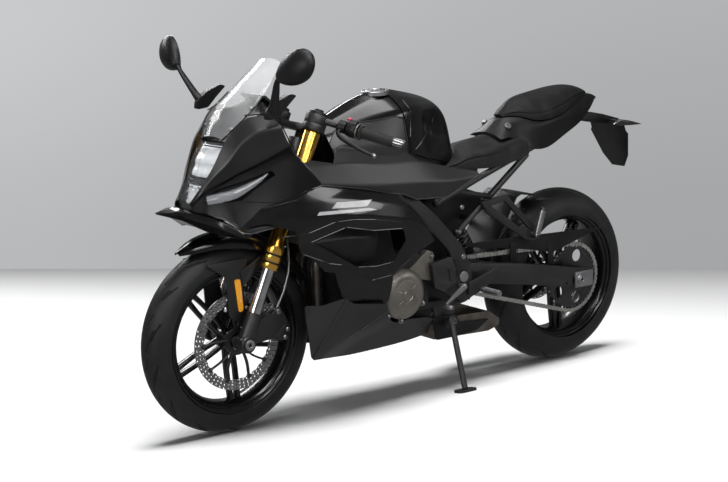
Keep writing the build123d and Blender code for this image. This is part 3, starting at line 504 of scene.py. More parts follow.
def grid_normals(grid: np.ndarray) -> np.ndarray:
    """Unit normals of a grid, from its two gradients crossed."""
    normal = np.cross(np.gradient(grid, axis=0), np.gradient(grid, axis=1))
    length = np.linalg.norm(normal, axis=2, keepdims=True)
    return normal / np.maximum(length, 1e-9)


def rounded(outline: Profile, radius: float, steps: int = 5) -> list[Pair]:
    """Closed outline with each corner cut back by radius and bent as a quadratic curve.

    Args:
        outline: the (x, z) corners.
        radius: length cut off both edges of a corner, at most 0.45 of each.
        steps: points in place of a corner.
    Returns:
        The (x, z) points.
    """
    points = np.array(outline, float)
    before, after = np.roll(points, 1, 0), np.roll(points, -1, 0)
    result = []
    for corner, last, following in zip(points, before, after):
        back, ahead = last - corner, following - corner
        cut_back = min(radius, 0.45 * np.linalg.norm(back))
        cut_ahead = min(radius, 0.45 * np.linalg.norm(ahead))
        start = corner + back / np.linalg.norm(back) * cut_back
        stop = corner + ahead / np.linalg.norm(ahead) * cut_ahead
        for share in np.linspace(0, 1, steps):
            bend = (1 - share) ** 2 * start + 2 * share * (1 - share) * corner + share ** 2 * stop
            result.append(tuple(bend))
    return result


def full_turn(steps: int) -> np.ndarray:
    """Angles evenly spaced over one turn."""
    return np.linspace(0, 2 * pi, steps, endpoint=False)


def round_axle(centre: Pair, y: np.ndarray, radius: np.ndarray,
               turn: np.ndarray) -> np.ndarray:
    """Points at distances along and from an axle along Y through (x, z), at angles from forward to up."""
    x, z = centre[0] + radius * np.cos(turn), centre[1] + radius * np.sin(turn)
    return np.stack([x, np.broadcast_to(y, x.shape), z], axis=-1)


def run_lengths(points: np.ndarray) -> np.ndarray:
    """Distance run along a line of plane points, at each of them."""
    return np.concatenate([[0], np.cumsum(np.hypot(*np.diff(points, axis=0).T))])


def ribbed(start: float, pitch: float, count: int, rib: Profile) -> list[Pair]:
    """Row of equal ribs for the profile of a drum: rib is one of them as (distance along, radius)."""
    return [(start + pitch * step + gap, radius) for step in range(count) for gap, radius in rib]


def joined(*meshes: Mesh) -> Mesh:
    """Several point and face lists as one."""
    points, faces, offset = [], [], 0
    for these, those in meshes:
        points.append(np.asarray(these, float).reshape(-1, 3))
        faces.extend([[number + offset for number in face] for face in those])
        offset += len(points[-1])
    return np.concatenate(points), faces


def as_mesh(grid: np.ndarray, wrap_rows: bool = False, wrap_columns: bool = False,
            caps: bool = False) -> Mesh:
    """Grid as points and quads, its first and last rows closed by one face each where caps is true.

    Args:
        grid: (rows, columns, 3) points.
        wrap_rows, wrap_columns: join the last line back to the first.
        caps: whether the ends are closed.
    Returns:
        The points and faces.
    """
    rows, columns = grid.shape[:2]
    faces = grid_faces(rows, columns, wrap_rows, wrap_columns).tolist()
    if caps:
        faces.append(list(range(columns))[::-1])
        faces.append(list(range((rows - 1) * columns, rows * columns)))
    return grid.reshape(-1, 3), faces


def shell(grid: np.ndarray, wall: float) -> Mesh:
    """Closed shell: the grid, the same grid moved in by the wall, and a rim round both.

    Args:
        grid: (rows, columns, 3) points.
        wall: distance moved against the normals.
    Returns:
        The points and faces.
    """
    rows, columns = grid.shape[:2]
    inner = grid - grid_normals(grid) * wall
    number = np.arange(rows * columns).reshape(rows, columns)
    edge = np.concatenate([number[0, :-1], number[:-1, -1], number[-1, :0:-1], number[:0:-1, 0]])
    after = np.roll(edge, -1)
    half = rows * columns
    outside = grid_faces(rows, columns)
    rim = np.stack([edge, after, after + half, edge + half], axis=1)
    faces = np.concatenate([outside, outside[:, ::-1] + half, rim])
    return np.concatenate([grid.reshape(-1, 3), inner.reshape(-1, 3)]), faces.tolist()


def half_body(stations: Stations, along: int, across: int, flow: float, crease: float,
              press: Callable[[np.ndarray], np.ndarray] | None = None) -> Mesh:
    """Closed symmetric body whose sections are given for the left half, from the top middle to the foot.

    Args:
        stations, along, across, flow, crease: as for stationed, blurred over the whole width.
        press: changes the whole grid before it is closed.
    Returns:
        The body as points and faces.
    """
    whole = [(x, [(-y, z) for y, z in reversed(profile)] + [spot for spot in profile if spot != profile[0]])
             for x, profile in stations]
    grid = stationed(whole, along, across, flow, crease)
    if press is not None:
        grid = press(grid)
    return as_mesh(grid, wrap_columns=True, caps=True)


def turned(centre: Pair, profile: Profile, steps: int) -> Mesh:
    """Closed ring turned about a wheel axle.

    Args:
        centre: (x, z) of the axle.
        profile: closed outline of (y, radius) points.
        steps: columns round the axle.
    Returns:
        The ring as points and faces.
    """
    turn = full_turn(steps)[:, None]
    y, radius = np.array(profile, float).T
    return as_mesh(round_axle(centre, y, radius, turn), wrap_rows=True, wrap_columns=True)


def square_to(way: np.ndarray) -> np.ndarray:
    """A direction square to a way: level, unless the way is steep."""
    return np.cross(way, (0, 0, 1) if abs(way[2]) < 0.9 else (0, 1, 0))


def swept(path: np.ndarray, radii: np.ndarray | float, sides: int = 16, flat: float = 1.0) -> Mesh:
    """Closed tube whose rings are square to the path, carried by the least turning frame.

    Args:
        path: (n, 3) middle line.
        radii: radius at each point.
        sides: points round a ring.
        flat: height of a ring over its width.
    Returns:
        The tube as points and faces.
    """
    path = np.asarray(path, float)
    radii = np.broadcast_to(np.asarray(radii, float), (len(path),))
    ahead = np.gradient(path, axis=0)
    ahead /= np.linalg.norm(ahead, axis=1, keepdims=True)
    side = square_to(ahead[0])
    rings, turn = [], full_turn(sides)[:, None]
    for centre, way, radius in zip(path, ahead, radii):
        side = side - way * (side @ way)
        side /= np.linalg.norm(side)
        over = np.cross(side, way)
        rings.append(centre + radius * (np.cos(turn) * side + flat * np.sin(turn) * over))
    return as_mesh(np.array(rings), wrap_columns=True, caps=True)


def eased(points: Sequence[Sequence[float]], steps: int = 8) -> np.ndarray:
    """Smooth line through points: each span is a Catmull-Rom cubic.

    Args:
        points: rows of coordinates.
        steps: points in a span.
    Returns:
        The rows of the line, both ends among them.
    """
    table = np.array(points, float)
    table = np.concatenate([2 * table[:1] - table[1:2], table, 2 * table[-1:] - table[-2:-1]])
    share = np.linspace(0, 1, steps, endpoint=False)[:, None]
    spans = []
    for a, b, c, d in zip(table, table[1:], table[2:], table[3:]):
        spans.append(0.5 * (2 * b + (c - a) * share + (2 * a - 5 * b + 4 * c - d) * share ** 2
                            + (3 * b - 3 * c + d - a) * share ** 3))
    return np.concatenate(spans + [table[-2:-1]])


def prism(outline: Profile, y_from: float, y_to: float) -> Mesh:
    """Outline of (x, z) points carried along Y."""
    count = len(outline)
    points = [(x, y, z) for y in (y_from, y_to) for x, z in outline]
    sides = [[i, (i + 1) % count, count + (i + 1) % count, count + i] for i in range(count)]
    return np.array(points, float), sides + [list(range(count))[::-1], list(range(count, 2 * count))]


def drum(centre: Sequence[float], axis: Sequence[float], profile: Profile, sides: int = 32,
         flutes: tuple[int, float] = (0, 0.0)) -> Mesh:
    """Turned body about any axis.

    Args:
        centre, axis: a point of the axis and its direction.
        profile: (distance along, radius) from one end to the other.
        sides: points round a ring.
        flutes: number and depth of the grooves along the body.
    Returns:
        The body as points and faces.
    """
    way = np.array(axis, float)
    way /= np.linalg.norm(way)
    side = square_to(way)
    side /= np.linalg.norm(side)
    over = np.cross(way, side)
    turn = full_turn(sides)[None, :, None]
    table = np.array(profile, float)[:, None, :]
    radius = table[..., 1:] - flutes[1] * (np.cos(turn * flutes[0]) > 0.2)
    ring = radius * (np.cos(turn) * side + np.sin(turn) * over)
    grid = np.array(centre, float) + table[..., :1] * way + ring
    return as_mesh(grid, wrap_columns=True, caps=True)


def placed(name: str, data: bpy.types.ID) -> bpy.types.Object:
    """Object in the scene that holds a mesh, lamp or camera."""
    piece = bpy.data.objects.new(name, data)
    bpy.context.scene.collection.objects.link(piece)
    return piece


class Workshop:
    """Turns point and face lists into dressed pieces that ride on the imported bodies."""

    def __init__(self, frame: dict) -> None:
        """Keep the frame's nodes and the parked place."""
        self.nodes = frame["nodes"]
        self.bike = BikeFrame.from_record(frame["record"])
        self.slots = {row["node"]: row["material_slot"] for row in frame["record"]["subparts"]}

    def object(self, name: str, mesh: Mesh, smooth: float = 35.0) -> bpy.types.Object:
        """Object at the origin whose mesh holds the parked place.

        Args:
            name: the piece's name.
            mesh: points in bike millimetres, and faces.
            smooth: edges flatter than this many degrees are shaded smooth.
        Returns:
            The object, with doubles merged and faces pointing outwards.
        """
        points, faces = mesh
        data = bpy.data.meshes.new(name)
        data.from_pydata(self.bike.place(points).tolist(), [], [list(map(int, face)) for face in faces])
        self.tidy(data, smooth)
        return placed(name, data)

    def tidy(self, data: bpy.types.Mesh, smooth: float) -> None:
        """Merge doubles, point faces outwards and shade the edges by an angle in degrees."""
        work = bmesh.new()
        work.from_mesh(data)
        bmesh.ops.remove_doubles(work, verts=work.verts, dist=0.00002)
        bmesh.ops.recalc_face_normals(work, faces=work.faces)
        work.to_mesh(data)
        work.free()
        self.shade(data, smooth)

    @staticmethod
    def shade(data: bpy.types.Mesh, smooth: float) -> None:
        """Shade a mesh smooth but for the edges that are sharper than an angle in degrees."""
        data.polygons.foreach_set("use_smooth", np.ones(len(data.polygons), bool))
        data.set_sharp_from_angle(angle=radians(smooth))

    def carve(self, piece: bpy.types.Object, cuts: Iterable[tuple[str, Mesh]], smooth: float = 35.0) -> None:
        """Cut a closed piece with closed tools, each ("INTERSECT" or "DIFFERENCE", mesh).

        Args:
            piece: the piece.
            cuts: the tools in order.
            smooth: as for object.
        """
        tools = []
        for operation, mesh in cuts:
            tool = self.object("tool", mesh)
            tools.append(tool)
            step = piece.modifiers.new("cut", "BOOLEAN")
            step.operation = operation
            step.object = tool
            step.solver = "EXACT"
        self.apply(piece)
        for tool in tools:
            bpy.data.objects.remove(tool)
        self.tidy(piece.data, smooth)

    @staticmethod
    def apply(piece: bpy.types.Object) -> None:
        """Write the piece's modifiers into its mesh."""
        bpy.context.view_layer.update()
        graph = bpy.context.evaluated_depsgraph_get()
        made = bpy.data.meshes.new_from_object(piece.evaluated_get(graph))
        piece.modifiers.clear()
        piece.data = made

    def soften(self, piece: bpy.types.Object, width: float, segments: int = 2) -> None:
        """Round the sharp edges of a piece by a width in millimetres."""
        bevel = piece.modifiers.new("edge", "BEVEL")
        bevel.width = width / 1000
        bevel.segments = segments
        bevel.limit_method = "ANGLE"
        bevel.angle_limit = radians(30)
        bevel.use_clamp_overlap = True
        bevel.harden_normals = False
        self.apply(piece)
        self.shade(piece.data, 40.0)

    def dress(self, piece: bpy.types.Object, body: str, slot: Slot, *nodes: str,
              trim: Trim | None = None) -> bpy.types.Object:
        """Give a piece its body, slot, finish and the nodes that it stands for.

        Args:
            piece, body, slot, nodes: the piece and what it gets.
            trim: a finish in place of that of the slot.
        Returns:
            The piece.
        """
        piece.data.materials.clear()
        piece.data.materials.append(finish(trim or slot))
        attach(piece, body)
        if nodes:
            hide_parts(*nodes)
        LOG.info("%s: %d faces", piece.name, len(piece.data.polygons))
        return piece

    def make(self, name: str, mesh: Mesh, body: str, slot: Slot, *nodes: str, trim: Trim | None = None,
             smooth: float = 35.0, edge: float = 0.0) -> bpy.types.Object:
        """Build and dress a piece in one go, its edges rounded where edge is above 0.

        Args:
            name, mesh, smooth: as for object.
            body, slot, nodes, trim: as for dress.
            edge: width of the rounding in millimetres.
        Returns:
            The piece.
        """
        piece = self.object(name, mesh, smooth)
        if edge > 0:
            self.soften(piece, edge)
        return self.dress(piece, body, slot, *nodes, trim=trim)

    def refined(self, node: str, body: str, edge: float) -> bpy.types.Object:
        """Copy of a solid with its flat faces joined and its edges rounded, which stands for it.

        Args:
            node: the solid.
            body: the body that it rides on.
            edge: width of the rounding in millimetres.
        Returns:
            The piece.
        """
        data = self.nodes[node].data.copy()
        work = bmesh.new()
        work.from_mesh(data)
        bmesh.ops.remove_doubles(work, verts=work.verts, dist=0.00001)
        bmesh.ops.dissolve_limit(work, angle_limit=radians(0.6), verts=work.verts, edges=work.edges)
        work.to_mesh(data)
        work.free()
        data.name = node + "_finished"
        piece = placed(node + "_finished", data)
        self.soften(piece, edge)
        return self.dress(piece, body, Slot[self.slots[node]], node)

    def paint_nodes(self) -> None:
        """Give every carried-over solid the finish of its own slot."""
        for name, node in self.nodes.items():
            node.data.materials.clear()
            node.data.materials.append(finish(Slot[self.slots[name]]))


# ---------------------------------------------------------------- wheels
@dataclass
class Wheel:
    """One wheel: tyre with cut tread and a cast rim with five open V spokes.

    cuts are lines (start, y, stop, y) whose starts and stops are shares of a pitch.
    """

    name: str
    body: str
    axle: Pair
    radius: float
    half_width: float
    bead: float
    hub_radius: float
    hub_half: float
    spoke_half: float
    cuts: Sequence[tuple[float, float, float, float]]
    pitches: int
    steps: int = 960
    groove_depth: float = 3.2
    groove_half: float = 2.6
    first_spoke: float = 48.0
    spoke_pairs: int = 5
    foot_spread: float = 24.0
    tip_spread: float = 3.4

    def tread(self, turn: np.ndarray, across: np.ndarray) -> np.ndarray:
        """Depth of the cuts, repeated round the tyre and mirrored half a pitch on.

        Args:
            turn, across: angles round the tyre, and distances across it from its middle line.
        Returns:
            The depth in millimetres at each pair of both.
        """
        share = (turn * self.pitches / (2 * pi)) % 1.0
        pitch_length = 2 * pi * self.radius / self.pitches
        depth = np.zeros(np.broadcast_shapes(turn.shape, across.shape))
        for side in (LEFT, RIGHT):
            shift = 0.0 if side == LEFT else 0.5
            for start, start_y, stop, stop_y in self.cuts:
                for wrap in (-1.0, 0.0, 1.0):
                    ahead = (share - shift - start + wrap) * pitch_length
                    aside = side * across - start_y
                    run = np.array([(stop - start) * pitch_length, stop_y - start_y])
                    length = np.hypot(*run)
                    along = np.clip((ahead * run[0] + aside * run[1]) / length ** 2, 0, 1)
                    gap = np.hypot(ahead - along * run[0], aside - along * run[1])
                    depth = np.maximum(depth, 1 - smoothstep(gap, self.groove_half * 0.55, self.groove_half))
        return depth * self.groove_depth

    def tyre(self) -> Mesh:
        """Crown on an arc whose radius is the half width, bulged walls, and cuts pressed in square to it."""
        arc = self.radius - self.half_width
        angle = np.linspace(0, pi, 81)
        crown = np.stack([self.half_width * np.cos(angle), arc + self.half_width * np.sin(angle)], axis=1)
        wall = [(self.bead, RIM_SEAT), (self.bead, RIM_FLANGE + 1), (self.bead + 6, RIM_FLANGE + 6),
                (self.half_width, arc - 8)]
        walls = np.array([(-y, r) for y, r in reversed(wall)] + wall)
        far = np.full(len(walls), 999.0)
        across = np.concatenate([self.half_width * (pi / 2 - angle), far])[None, :]
        turn = full_turn(self.steps)[:, None]
        profile = np.concatenate([crown, walls])[None, :, :]
        way = np.concatenate([np.stack([np.cos(angle), np.sin(angle)], axis=1), np.zeros((len(walls), 2))])
        cut = profile - self.tread(turn, across)[..., None] * way[None, :, :]
        return as_mesh(round_axle(self.axle, cut[..., 0], cut[..., 1], turn), wrap_rows=True,
                       wrap_columns=True)

    def barrel(self) -> Mesh:
        """Turned barrel with a rolled lip on each side."""
        lip = [(self.bead + 5, RIM_FLANGE - 1), (self.bead + 5, RIM_FLANGE - 6),
               (self.bead + 1, RIM_FLANGE - 10), (self.bead - 4, 211), (self.bead - 14, 204), (14, 198)]
        seat = [(-self.bead, RIM_FLANGE - 1), (-self.bead, RIM_SEAT), (self.bead, RIM_SEAT),
                (self.bead, RIM_FLANGE - 1)]
        return turned(self.axle, lip + [(-y, r) for y, r in reversed(lip)] + seat, 180)

    def spokes(self) -> Mesh:
        """Pairs of tapered arms: a rounded box section carried from the hub to the barrel."""
        arms = []
        turn = full_turn(20)
        share = np.linspace(0, 1, 15)[:, None]
        round_turn = np.stack([np.cos(turn), np.sin(turn)], axis=1)
        section = np.sign(round_turn) * np.abs(round_turn) ** 0.55
        barrel_radius = 201
        for number in range(self.spoke_pairs):
            for side in (LEFT, RIGHT):
                middle_turn = self.first_spoke + 360 / self.spoke_pairs * number
                foot, tip = (radians(middle_turn + side * spread)
                             for spread in (self.foot_spread, self.tip_spread))
                start = np.array([cos(foot), sin(foot)]) * (self.hub_radius - 5)
                stop = np.array([cos(tip), sin(tip)]) * barrel_radius
                run = stop - start
                square = np.array([-run[1], run[0]]) / np.hypot(*run)
                bow = 4.0 * side * np.sin(pi * share)
                middle = start + run * share + square * bow
                wide = 6.2 + 2.8 * (1 - share) ** 2 + 2.6 * share ** 4
                thick = self.spoke_half * (0.78 + 0.22 * share)
                x = self.axle[0] + middle[:, :1] + square[0] * wide * section[None, :, 0]
                z = self.axle[1] + middle[:, 1:] + square[1] * wide * section[None, :, 0]
                grid = np.stack([x, thick * section[None, :, 1], z], axis=2)
                arms.append(as_mesh(grid, wrap_columns=True, caps=True))
        return joined(*arms)

    def hub(self) -> Mesh:
        """Turned hub with chamfered ends and a raised bearing seat."""
        r, half, bore = self.hub_radius, self.hub_half, 10.3
        end = [(half, bore), (half, r * 0.55), (half - 3, r * 0.62), (half - 8, r * 0.7), (half - 14, r - 3),
               (half - 19, r)]
        return turned(self.axle, [(-half, bore)] + end + [(-y, radius) for y, radius in end[:0:-1]], 96)

    def build(self, shop: Workshop) -> None:
        """Make the tyre and the rim."""
        shop.make(f"{self.name}_tyre_tread", self.tyre(), self.body, Slot.tyre_rubber, f"{self.name}_tyre")
        shop.make(f"{self.name}_rim_cast", joined(self.barrel(), self.spokes(), self.hub()), self.body,
                  Slot.rim_black, f"{self.name}_rim")


@dataclass
class Rotor:
    """Brake rotor, drilled in columns and rows, on a five-armed black carrier."""

    name: str
    body: str
    axle: Pair
    node: str
    radius: float
    web: float
    y_from: float
    y_to: float
    hub: float
    columns: int
    rows: int
    hole: float

    def drilled(self) -> Mesh:
        """Ring tiled by cells, each a square loop round a drilled hole; odd columns shift their holes."""
        sides = 16
        turn = full_turn(sides)
        circle = np.stack([np.cos(turn), np.sin(turn)], axis=1)
        square = circle / np.max(np.abs(circle), axis=1, keepdims=True)
        column, row = np.meshgrid(np.arange(self.columns), np.arange(self.rows), indexing="ij")
        column, row = column.ravel()[:, None], row.ravel()[:, None]
        inner = self.radius - self.web
        half_turn, half_band = pi / self.columns, self.web / self.rows / 2
        radius = inner + (2 * row + 1) * half_band
        sway = half_band * 0.34 * np.where(column % 3 == 0, 1, np.where(column % 3 == 1, 0, -1))
        loops = []
        for shape, width, height, shift in ((square, half_turn, half_band, 0.0),
                                            (circle, self.hole / radius, self.hole, 1.0)):
            angle = (2 * column + 1) * half_turn + width * shape[None, :, 0]
            far = radius + shift * sway + height * shape[None, :, 1]
            far = far + np.where((row == 0) & (shape[None, :, 1] < -0.99) & (shift == 0),
                                 3.0 * np.sin(angle * self.columns / 4) ** 2, 0)
            loops.append((angle, far))
        levels = ((loops[0], self.y_to), (loops[1], self.y_to), (loops[1], self.y_from),
                  (loops[0], self.y_from))
        points = [round_axle(self.axle, np.array(y), far, angle).reshape(-1, 3) for (angle, far), y in levels]
        level = self.columns * self.rows * sides
        first = np.arange(0, level, sides)[:, None]
        base, after = first + np.arange(sides)[None, :], first + np.roll(np.arange(sides), -1)[None, :]
        faces = [np.stack([base + low, after + low, after + low + level, base + low + level],
                          axis=2).reshape(-1, 4)
                 for low in (0, level, 2 * level)]
        for which, sign in ((0, -1), (self.rows - 1, 1)):
            chosen = np.where(row.ravel() == which)[0] * sides
            places = [i for i in range(sides) if square[i, 1] * sign > 0.99]
            for start, stop in zip(places, places[1:]):
                near, far = chosen + start, chosen + stop
                faces.append(np.stack([near, far, far + 3 * level, near + 3 * level], axis=1))
        return np.concatenate(points), np.concatenate(faces).tolist()

    def carrier(self) -> Mesh:
        """Hub ring, five forked arms and a button at each arm's end."""
        parts = [turned(self.axle, [(self.y_from - 1, 27), (self.y_to + 1, 27), (self.y_to + 1, self.hub),
                                    (self.y_from - 1, self.hub)], 72)]
        inner, thick = self.radius - self.web, self.y_to - self.y_from
        for number in range(5):
            for side in (LEFT, RIGHT):
                foot, tip = radians(18 + 72 * number + side * 5), radians(18 + 72 * number + side * 17)
                far = np.array([self.hub - 4, (self.hub + inner) / 2, inner + 5])
                path = round_axle(self.axle, np.array((self.y_from + self.y_to) / 2), far,
                                  np.array([foot, (foot + tip) / 2, tip]))
                parts.append(swept(eased(path, 5), 5.6, 10, 0.62))
                parts.append(drum((path[-1, 0], self.y_from - 1.5, path[-1, 2]), (0, 1, 0),
                                  [(0, 6.5), (1, 7.5), (thick + 2, 7.5), (thick + 3, 6)], 20))
        return joined(*parts)

    def build(self, shop: Workshop) -> None:
        """Make the rotor and its carrier."""
        shop.make(f"{self.name}_rotor", self.drilled(), self.body, Slot.disc_steel, self.node, smooth=25)
        shop.make(f"{self.name}_carrier", self.carrier(), self.body, Slot.satin_black)


@dataclass
class Chain:
    """Roller chain with separate side plates on the tangent loop of both sprockets."""

    big: float = 121.0
    small: float = 41.0
    pinion: Pair = (650.0, 415.0)
    middle: float = 95.0
    pitch: float = 15.9
    plate: Profile = ((-7, 0), (-5, 5.5), (0, 7.6), (5, 6), (8, 5), (11, 6), (16, 7.6), (21, 5.5), (23, 0))

    def loop(self) -> np.ndarray:
        """Link pins, evenly spaced along the loop."""
        run = np.array(self.pinion) - np.array(REAR_AXLE)
        length, tilt = np.hypot(*run), atan2(run[1], run[0])
        spread = atan2(np.sqrt(length ** 2 - (self.big - self.small) ** 2), self.big - self.small)
        back = np.linspace(tilt + spread, tilt + 2 * pi - spread, 60)
        front = np.linspace(tilt - spread, tilt + spread, 20)
        line = np.concatenate([round_axle(REAR_AXLE, np.array(0.0), np.array(self.big), back),
                               round_axle(self.pinion, np.array(0.0), np.array(self.small), front)])[:, ::2]
        line = np.concatenate([line, line[:1]])
        step = run_lengths(line)
        count = 2 * round(step[-1] / self.pitch / 2)
        spots = np.linspace(0, step[-1], count, endpoint=False)
        return np.stack([np.interp(spots, step, line[:, 0]), np.interp(spots, step, line[:, 1])], axis=1)

    def build(self, shop: Workshop) -> None:
        """Make plates in pairs, outer and inner by turns, and a roller at each pin."""
        pins = self.loop()
        parts = []
        waist = list(self.plate) + [(u, -v) for u, v in self.plate[-2:0:-1]]
        for number, (start, stop) in enumerate(zip(pins, np.roll(pins, -1, axis=0))):
            way = (stop - start) / np.hypot(*(stop - start))
            square = np.array([-way[1], way[0]])
            plate = [tuple(start + way * u + square * v) for u, v in waist]
            for side in (LEFT, RIGHT):
                near = self.middle + side * (7.0 if number % 2 else 4.6)
                parts.append(prism(plate, near - 0.9, near + 0.9))
            ring = [(start[0] + 4.6 * np.cos(a), start[1] + 4.6 * np.sin(a)) for a in full_turn(8)]
            parts.append(prism(ring, self.middle - 8, self.middle + 8))
        shop.make("chain_links", joined(*parts), "chassis", Slot.chain_steel, "chain", smooth=30)


# ---------------------------------------------------------------- bodywork
INNER_REACH, OUTER_REACH = 30.0, 330.0      # how far cutting tools go past the middle and past the side


@dataclass
class Tank:
    """Fuel tank: narrow crown and a flush filler cap."""

    stations: Stations = (
        (1066, ((0, 944), (30, 936), (62, 910), (96, 868), (112, 824))),
        (1015, ((0, 968), (40, 958), (84, 922), (116, 880), (126, 820))),
        (950, ((0, 1000), (48, 985), (98, 943), (128, 884), (134, 795))),
        (880, ((0, 1028), (50, 1002), (104, 958), (134, 880), (136, 784))),
        (800, ((0, 1038), (52, 1012), (106, 972), (130, 880), (134, 770))),
        (715, ((0, 1018), (50, 1003), (98, 974), (104, 858), (112, 766))),
        (640, ((0, 1002), (24, 992), (49, 974), (61, 882), (80, 774))),
        (567, ((0, 973), (2, 972), (8, 968), (24, 906), (54, 774))),
        (521, ((0, 923), (1, 922), (3, 920), (6, 914), (38, 784))),
        (506, ((0, 850), (1, 849), (3, 847), (6, 842), (24, 786))),
    )
    cap: Triple = (818.0, 0.0, 1030.0)
    cap_radius: float = 47.0

    def lid(self) -> Mesh:
        """Filler cap: a turned lid with a sunk ring, and six screws."""
        x, y, z = self.cap
        r, up = self.cap_radius, (0.03, 0, 1)
        profile = [(0, r - 1), (12, r - 1), (14, r - 3), (14.5, r - 9), (12.5, r - 10), (12.5, r - 13),
                   (14, r - 15), (14.5, r - 24), (14, 6)]
        parts = [drum((x, y, z - 12), up, profile, 64)]
        for number in range(6):
            turn, far = radians(30 + 60 * number), r - 5.5
            parts.append(drum((x + far * cos(turn), far * sin(turn), z), up,
                              [(0, 3.2), (3.2, 3.2), (3.8, 2.4)], 12))
        return joined(*parts)

    def build(self, shop: Workshop) -> None:
        """Make the shell and the cap."""
        body = half_body(self.stations, 12, 10, 5.3, 1.4)
        shop.make("tank_shell", body, "chassis", Slot.gloss_black, "fuel_tank", smooth=50)
        shop.make("filler_cap", self.lid(), "chassis", Slot.bare_aluminium, "fuel_cap")


@dataclass
class Panel:
    """Thin panel on both sides: a faired skin cut to an outline, with windows cut through it.

    wall goes inwards, or outwards where it is below 0; bore is the (x, z, radius) of a hole along Y; each
    fold (x, z, x, z, slope, reach) sinks the skin beyond a line; each bead is a line that has a rolled edge.
    """

    name: str
    nodes: tuple[str, ...]
    slot: Slot
    stations: Stations
    outline: Profile
    windows: tuple[Profile, ...] = ()
    wall: float = 4.0
    corner: float = 7.0
    window_corner: float = 16.0
    flow: float = 5.0
    crease: float = 1.2
    bore: Triple | None = None
    trim: Trim | None = None
    folds: Sequence[tuple[float, float, float, float, float, float]] = ()
    beads: Sequence[Profile] = ()

    def skin(self, side: float) -> Mesh:
        """Closed shell of one side."""
        grid = stationed(self.stations, 12, 10, self.flow, self.crease)
        for x0, z0, x1, z1, slope, reach in self.folds:
            aside = (x1 - x0) * (grid[..., 2] - z0) - (z1 - z0) * (grid[..., 0] - x0)
            beyond = aside / hypot(x1 - x0, z1 - z0)
            grid[..., 1] -= slope * np.clip(beyond, 0, reach)
        normal = grid_normals(grid)
        wall = self.wall if np.mean(normal[..., 1]) > 0 else -self.wall
        points, faces = shell(grid, wall)
        return (points if side == LEFT else mirrored(points)), faces

    def build(self, shop: Workshop) -> None:
        """Make a piece for each side, the left one standing for the nodes, and one for the rolled edges."""
        for side, word, nodes in ((LEFT, "left", self.nodes), (RIGHT, "right", ())):
            piece = shop.object(f"{self.name}_{word}", self.skin(side))
            near, far = sorted((-side * INNER_REACH, side * OUTER_REACH))
            cuts = [("INTERSECT", prism(rounded(self.outline, self.corner), near, far))]
            cuts += [("DIFFERENCE", prism(rounded(window, self.window_corner), near, far))
                     for window in self.windows]
            if self.bore is not None:
                x, z, r = self.bore
                cuts.append(("DIFFERENCE", drum((x, -OUTER_REACH, z), (0, 1, 0),
                                                [(0, r), (2 * OUTER_REACH, r)], 96)))
            shop.carve(piece, cuts, 32)
            shop.dress(piece, "chassis", self.slot, *nodes, trim=self.trim)
        if self.beads:
            lift = max(0.0, -self.wall)
            edges = [bead(self.stations, line, lift) for line in self.beads]
            shop.make(f"{self.name}_edges", joined(*edges), "chassis", self.slot)


def bead(stations: Stations, line: Profile, lift: float) -> Mesh:
    """Thin rolled edge on both sides, along a line of (x, z) points over a skin, lifted off it.

    Args:
        stations: sections of the skin.
        line: the (x, z) points.
        lift: distance off the skin.
    Returns:
        Both edges as points and faces.
    """
    radius, spacing = 2.0, 7
    table = np.array(line, float)
    step = run_lengths(table)
    spots = np.linspace(0, step[-1], max(4, int(step[-1] / spacing)))
    x, z = np.interp(spots, step, table[:, 0]), np.interp(spots, step, table[:, 1])
    return both(swept(np.stack([x, skin_y(stations, x, z) + lift - 0.4 * radius, z], axis=1), radius, 8))


def skin_y(stations: Stations, x: np.ndarray, z: np.ndarray) -> np.ndarray:
    """Half width of a ruled skin at places (x, z): sections are ruled along X, then read down in Z.

    Args:
        stations: sections of the skin.
        x, z: the places, as two lists of one length.
    Returns:
        The distance from the middle at each place.
    """
    table = np.array([[(x0, y, z0) for y, z0 in profile] for x0, profile in stations], float)
    table = table[np.argsort(table[:, 0, 0])]
    result = []
    for px, pz in zip(x, z):
        ys, zs = (np.array([np.interp(px, line[:, 0], line[:, k]) for line in table.swapaxes(0, 1)])
                  for k in (1, 2))
        result.append(np.interp(-pz, -zs, ys))
    return np.array(result)


DAY_LAMP: Profile = ((1524, 740), (1498, 782), (1424, 808), (1352, 840), (1342, 828), (1392, 790),
                     (1436, 754))
SIDE_STATIONS: Stations = (
    (1480, ((196, 720), (198, 706), (196, 690), (196, 560), (194, 500), (190, 300), (186, 230))),
    (1300, ((222, 790), (232, 740), (238, 690), (208, 600), (200, 500), (192, 300), (186, 230))),
    (1190, ((214, 790), (232, 740), (240, 690), (212, 610), (206, 500), (190, 300), (182, 230))),
    (1100, ((206, 775), (228, 730), (238, 680), (214, 600), (206, 500), (186, 300), (140, 206))),
    (1000, ((196, 760), (222, 715), (236, 665), (214, 590), (202, 505), (172, 300), (112, 192))),
    (850, ((190, 720), (214, 680), (228, 640), (212, 560), (198, 480), (166, 300), (100, 192))),
    (700, ((188, 690), (196, 600), (202, 560), (196, 520), (176, 440), (150, 300), (94, 196))),
    (500, ((186, 690), (190, 600), (190, 560), (186, 520), (160, 440), (110, 300), (80, 230))),
)
SIDE_FOLDS = ((1160, 669, 1353, 641, 0.10, 80), (1263, 576, 1085, 501, 0.25, 70))
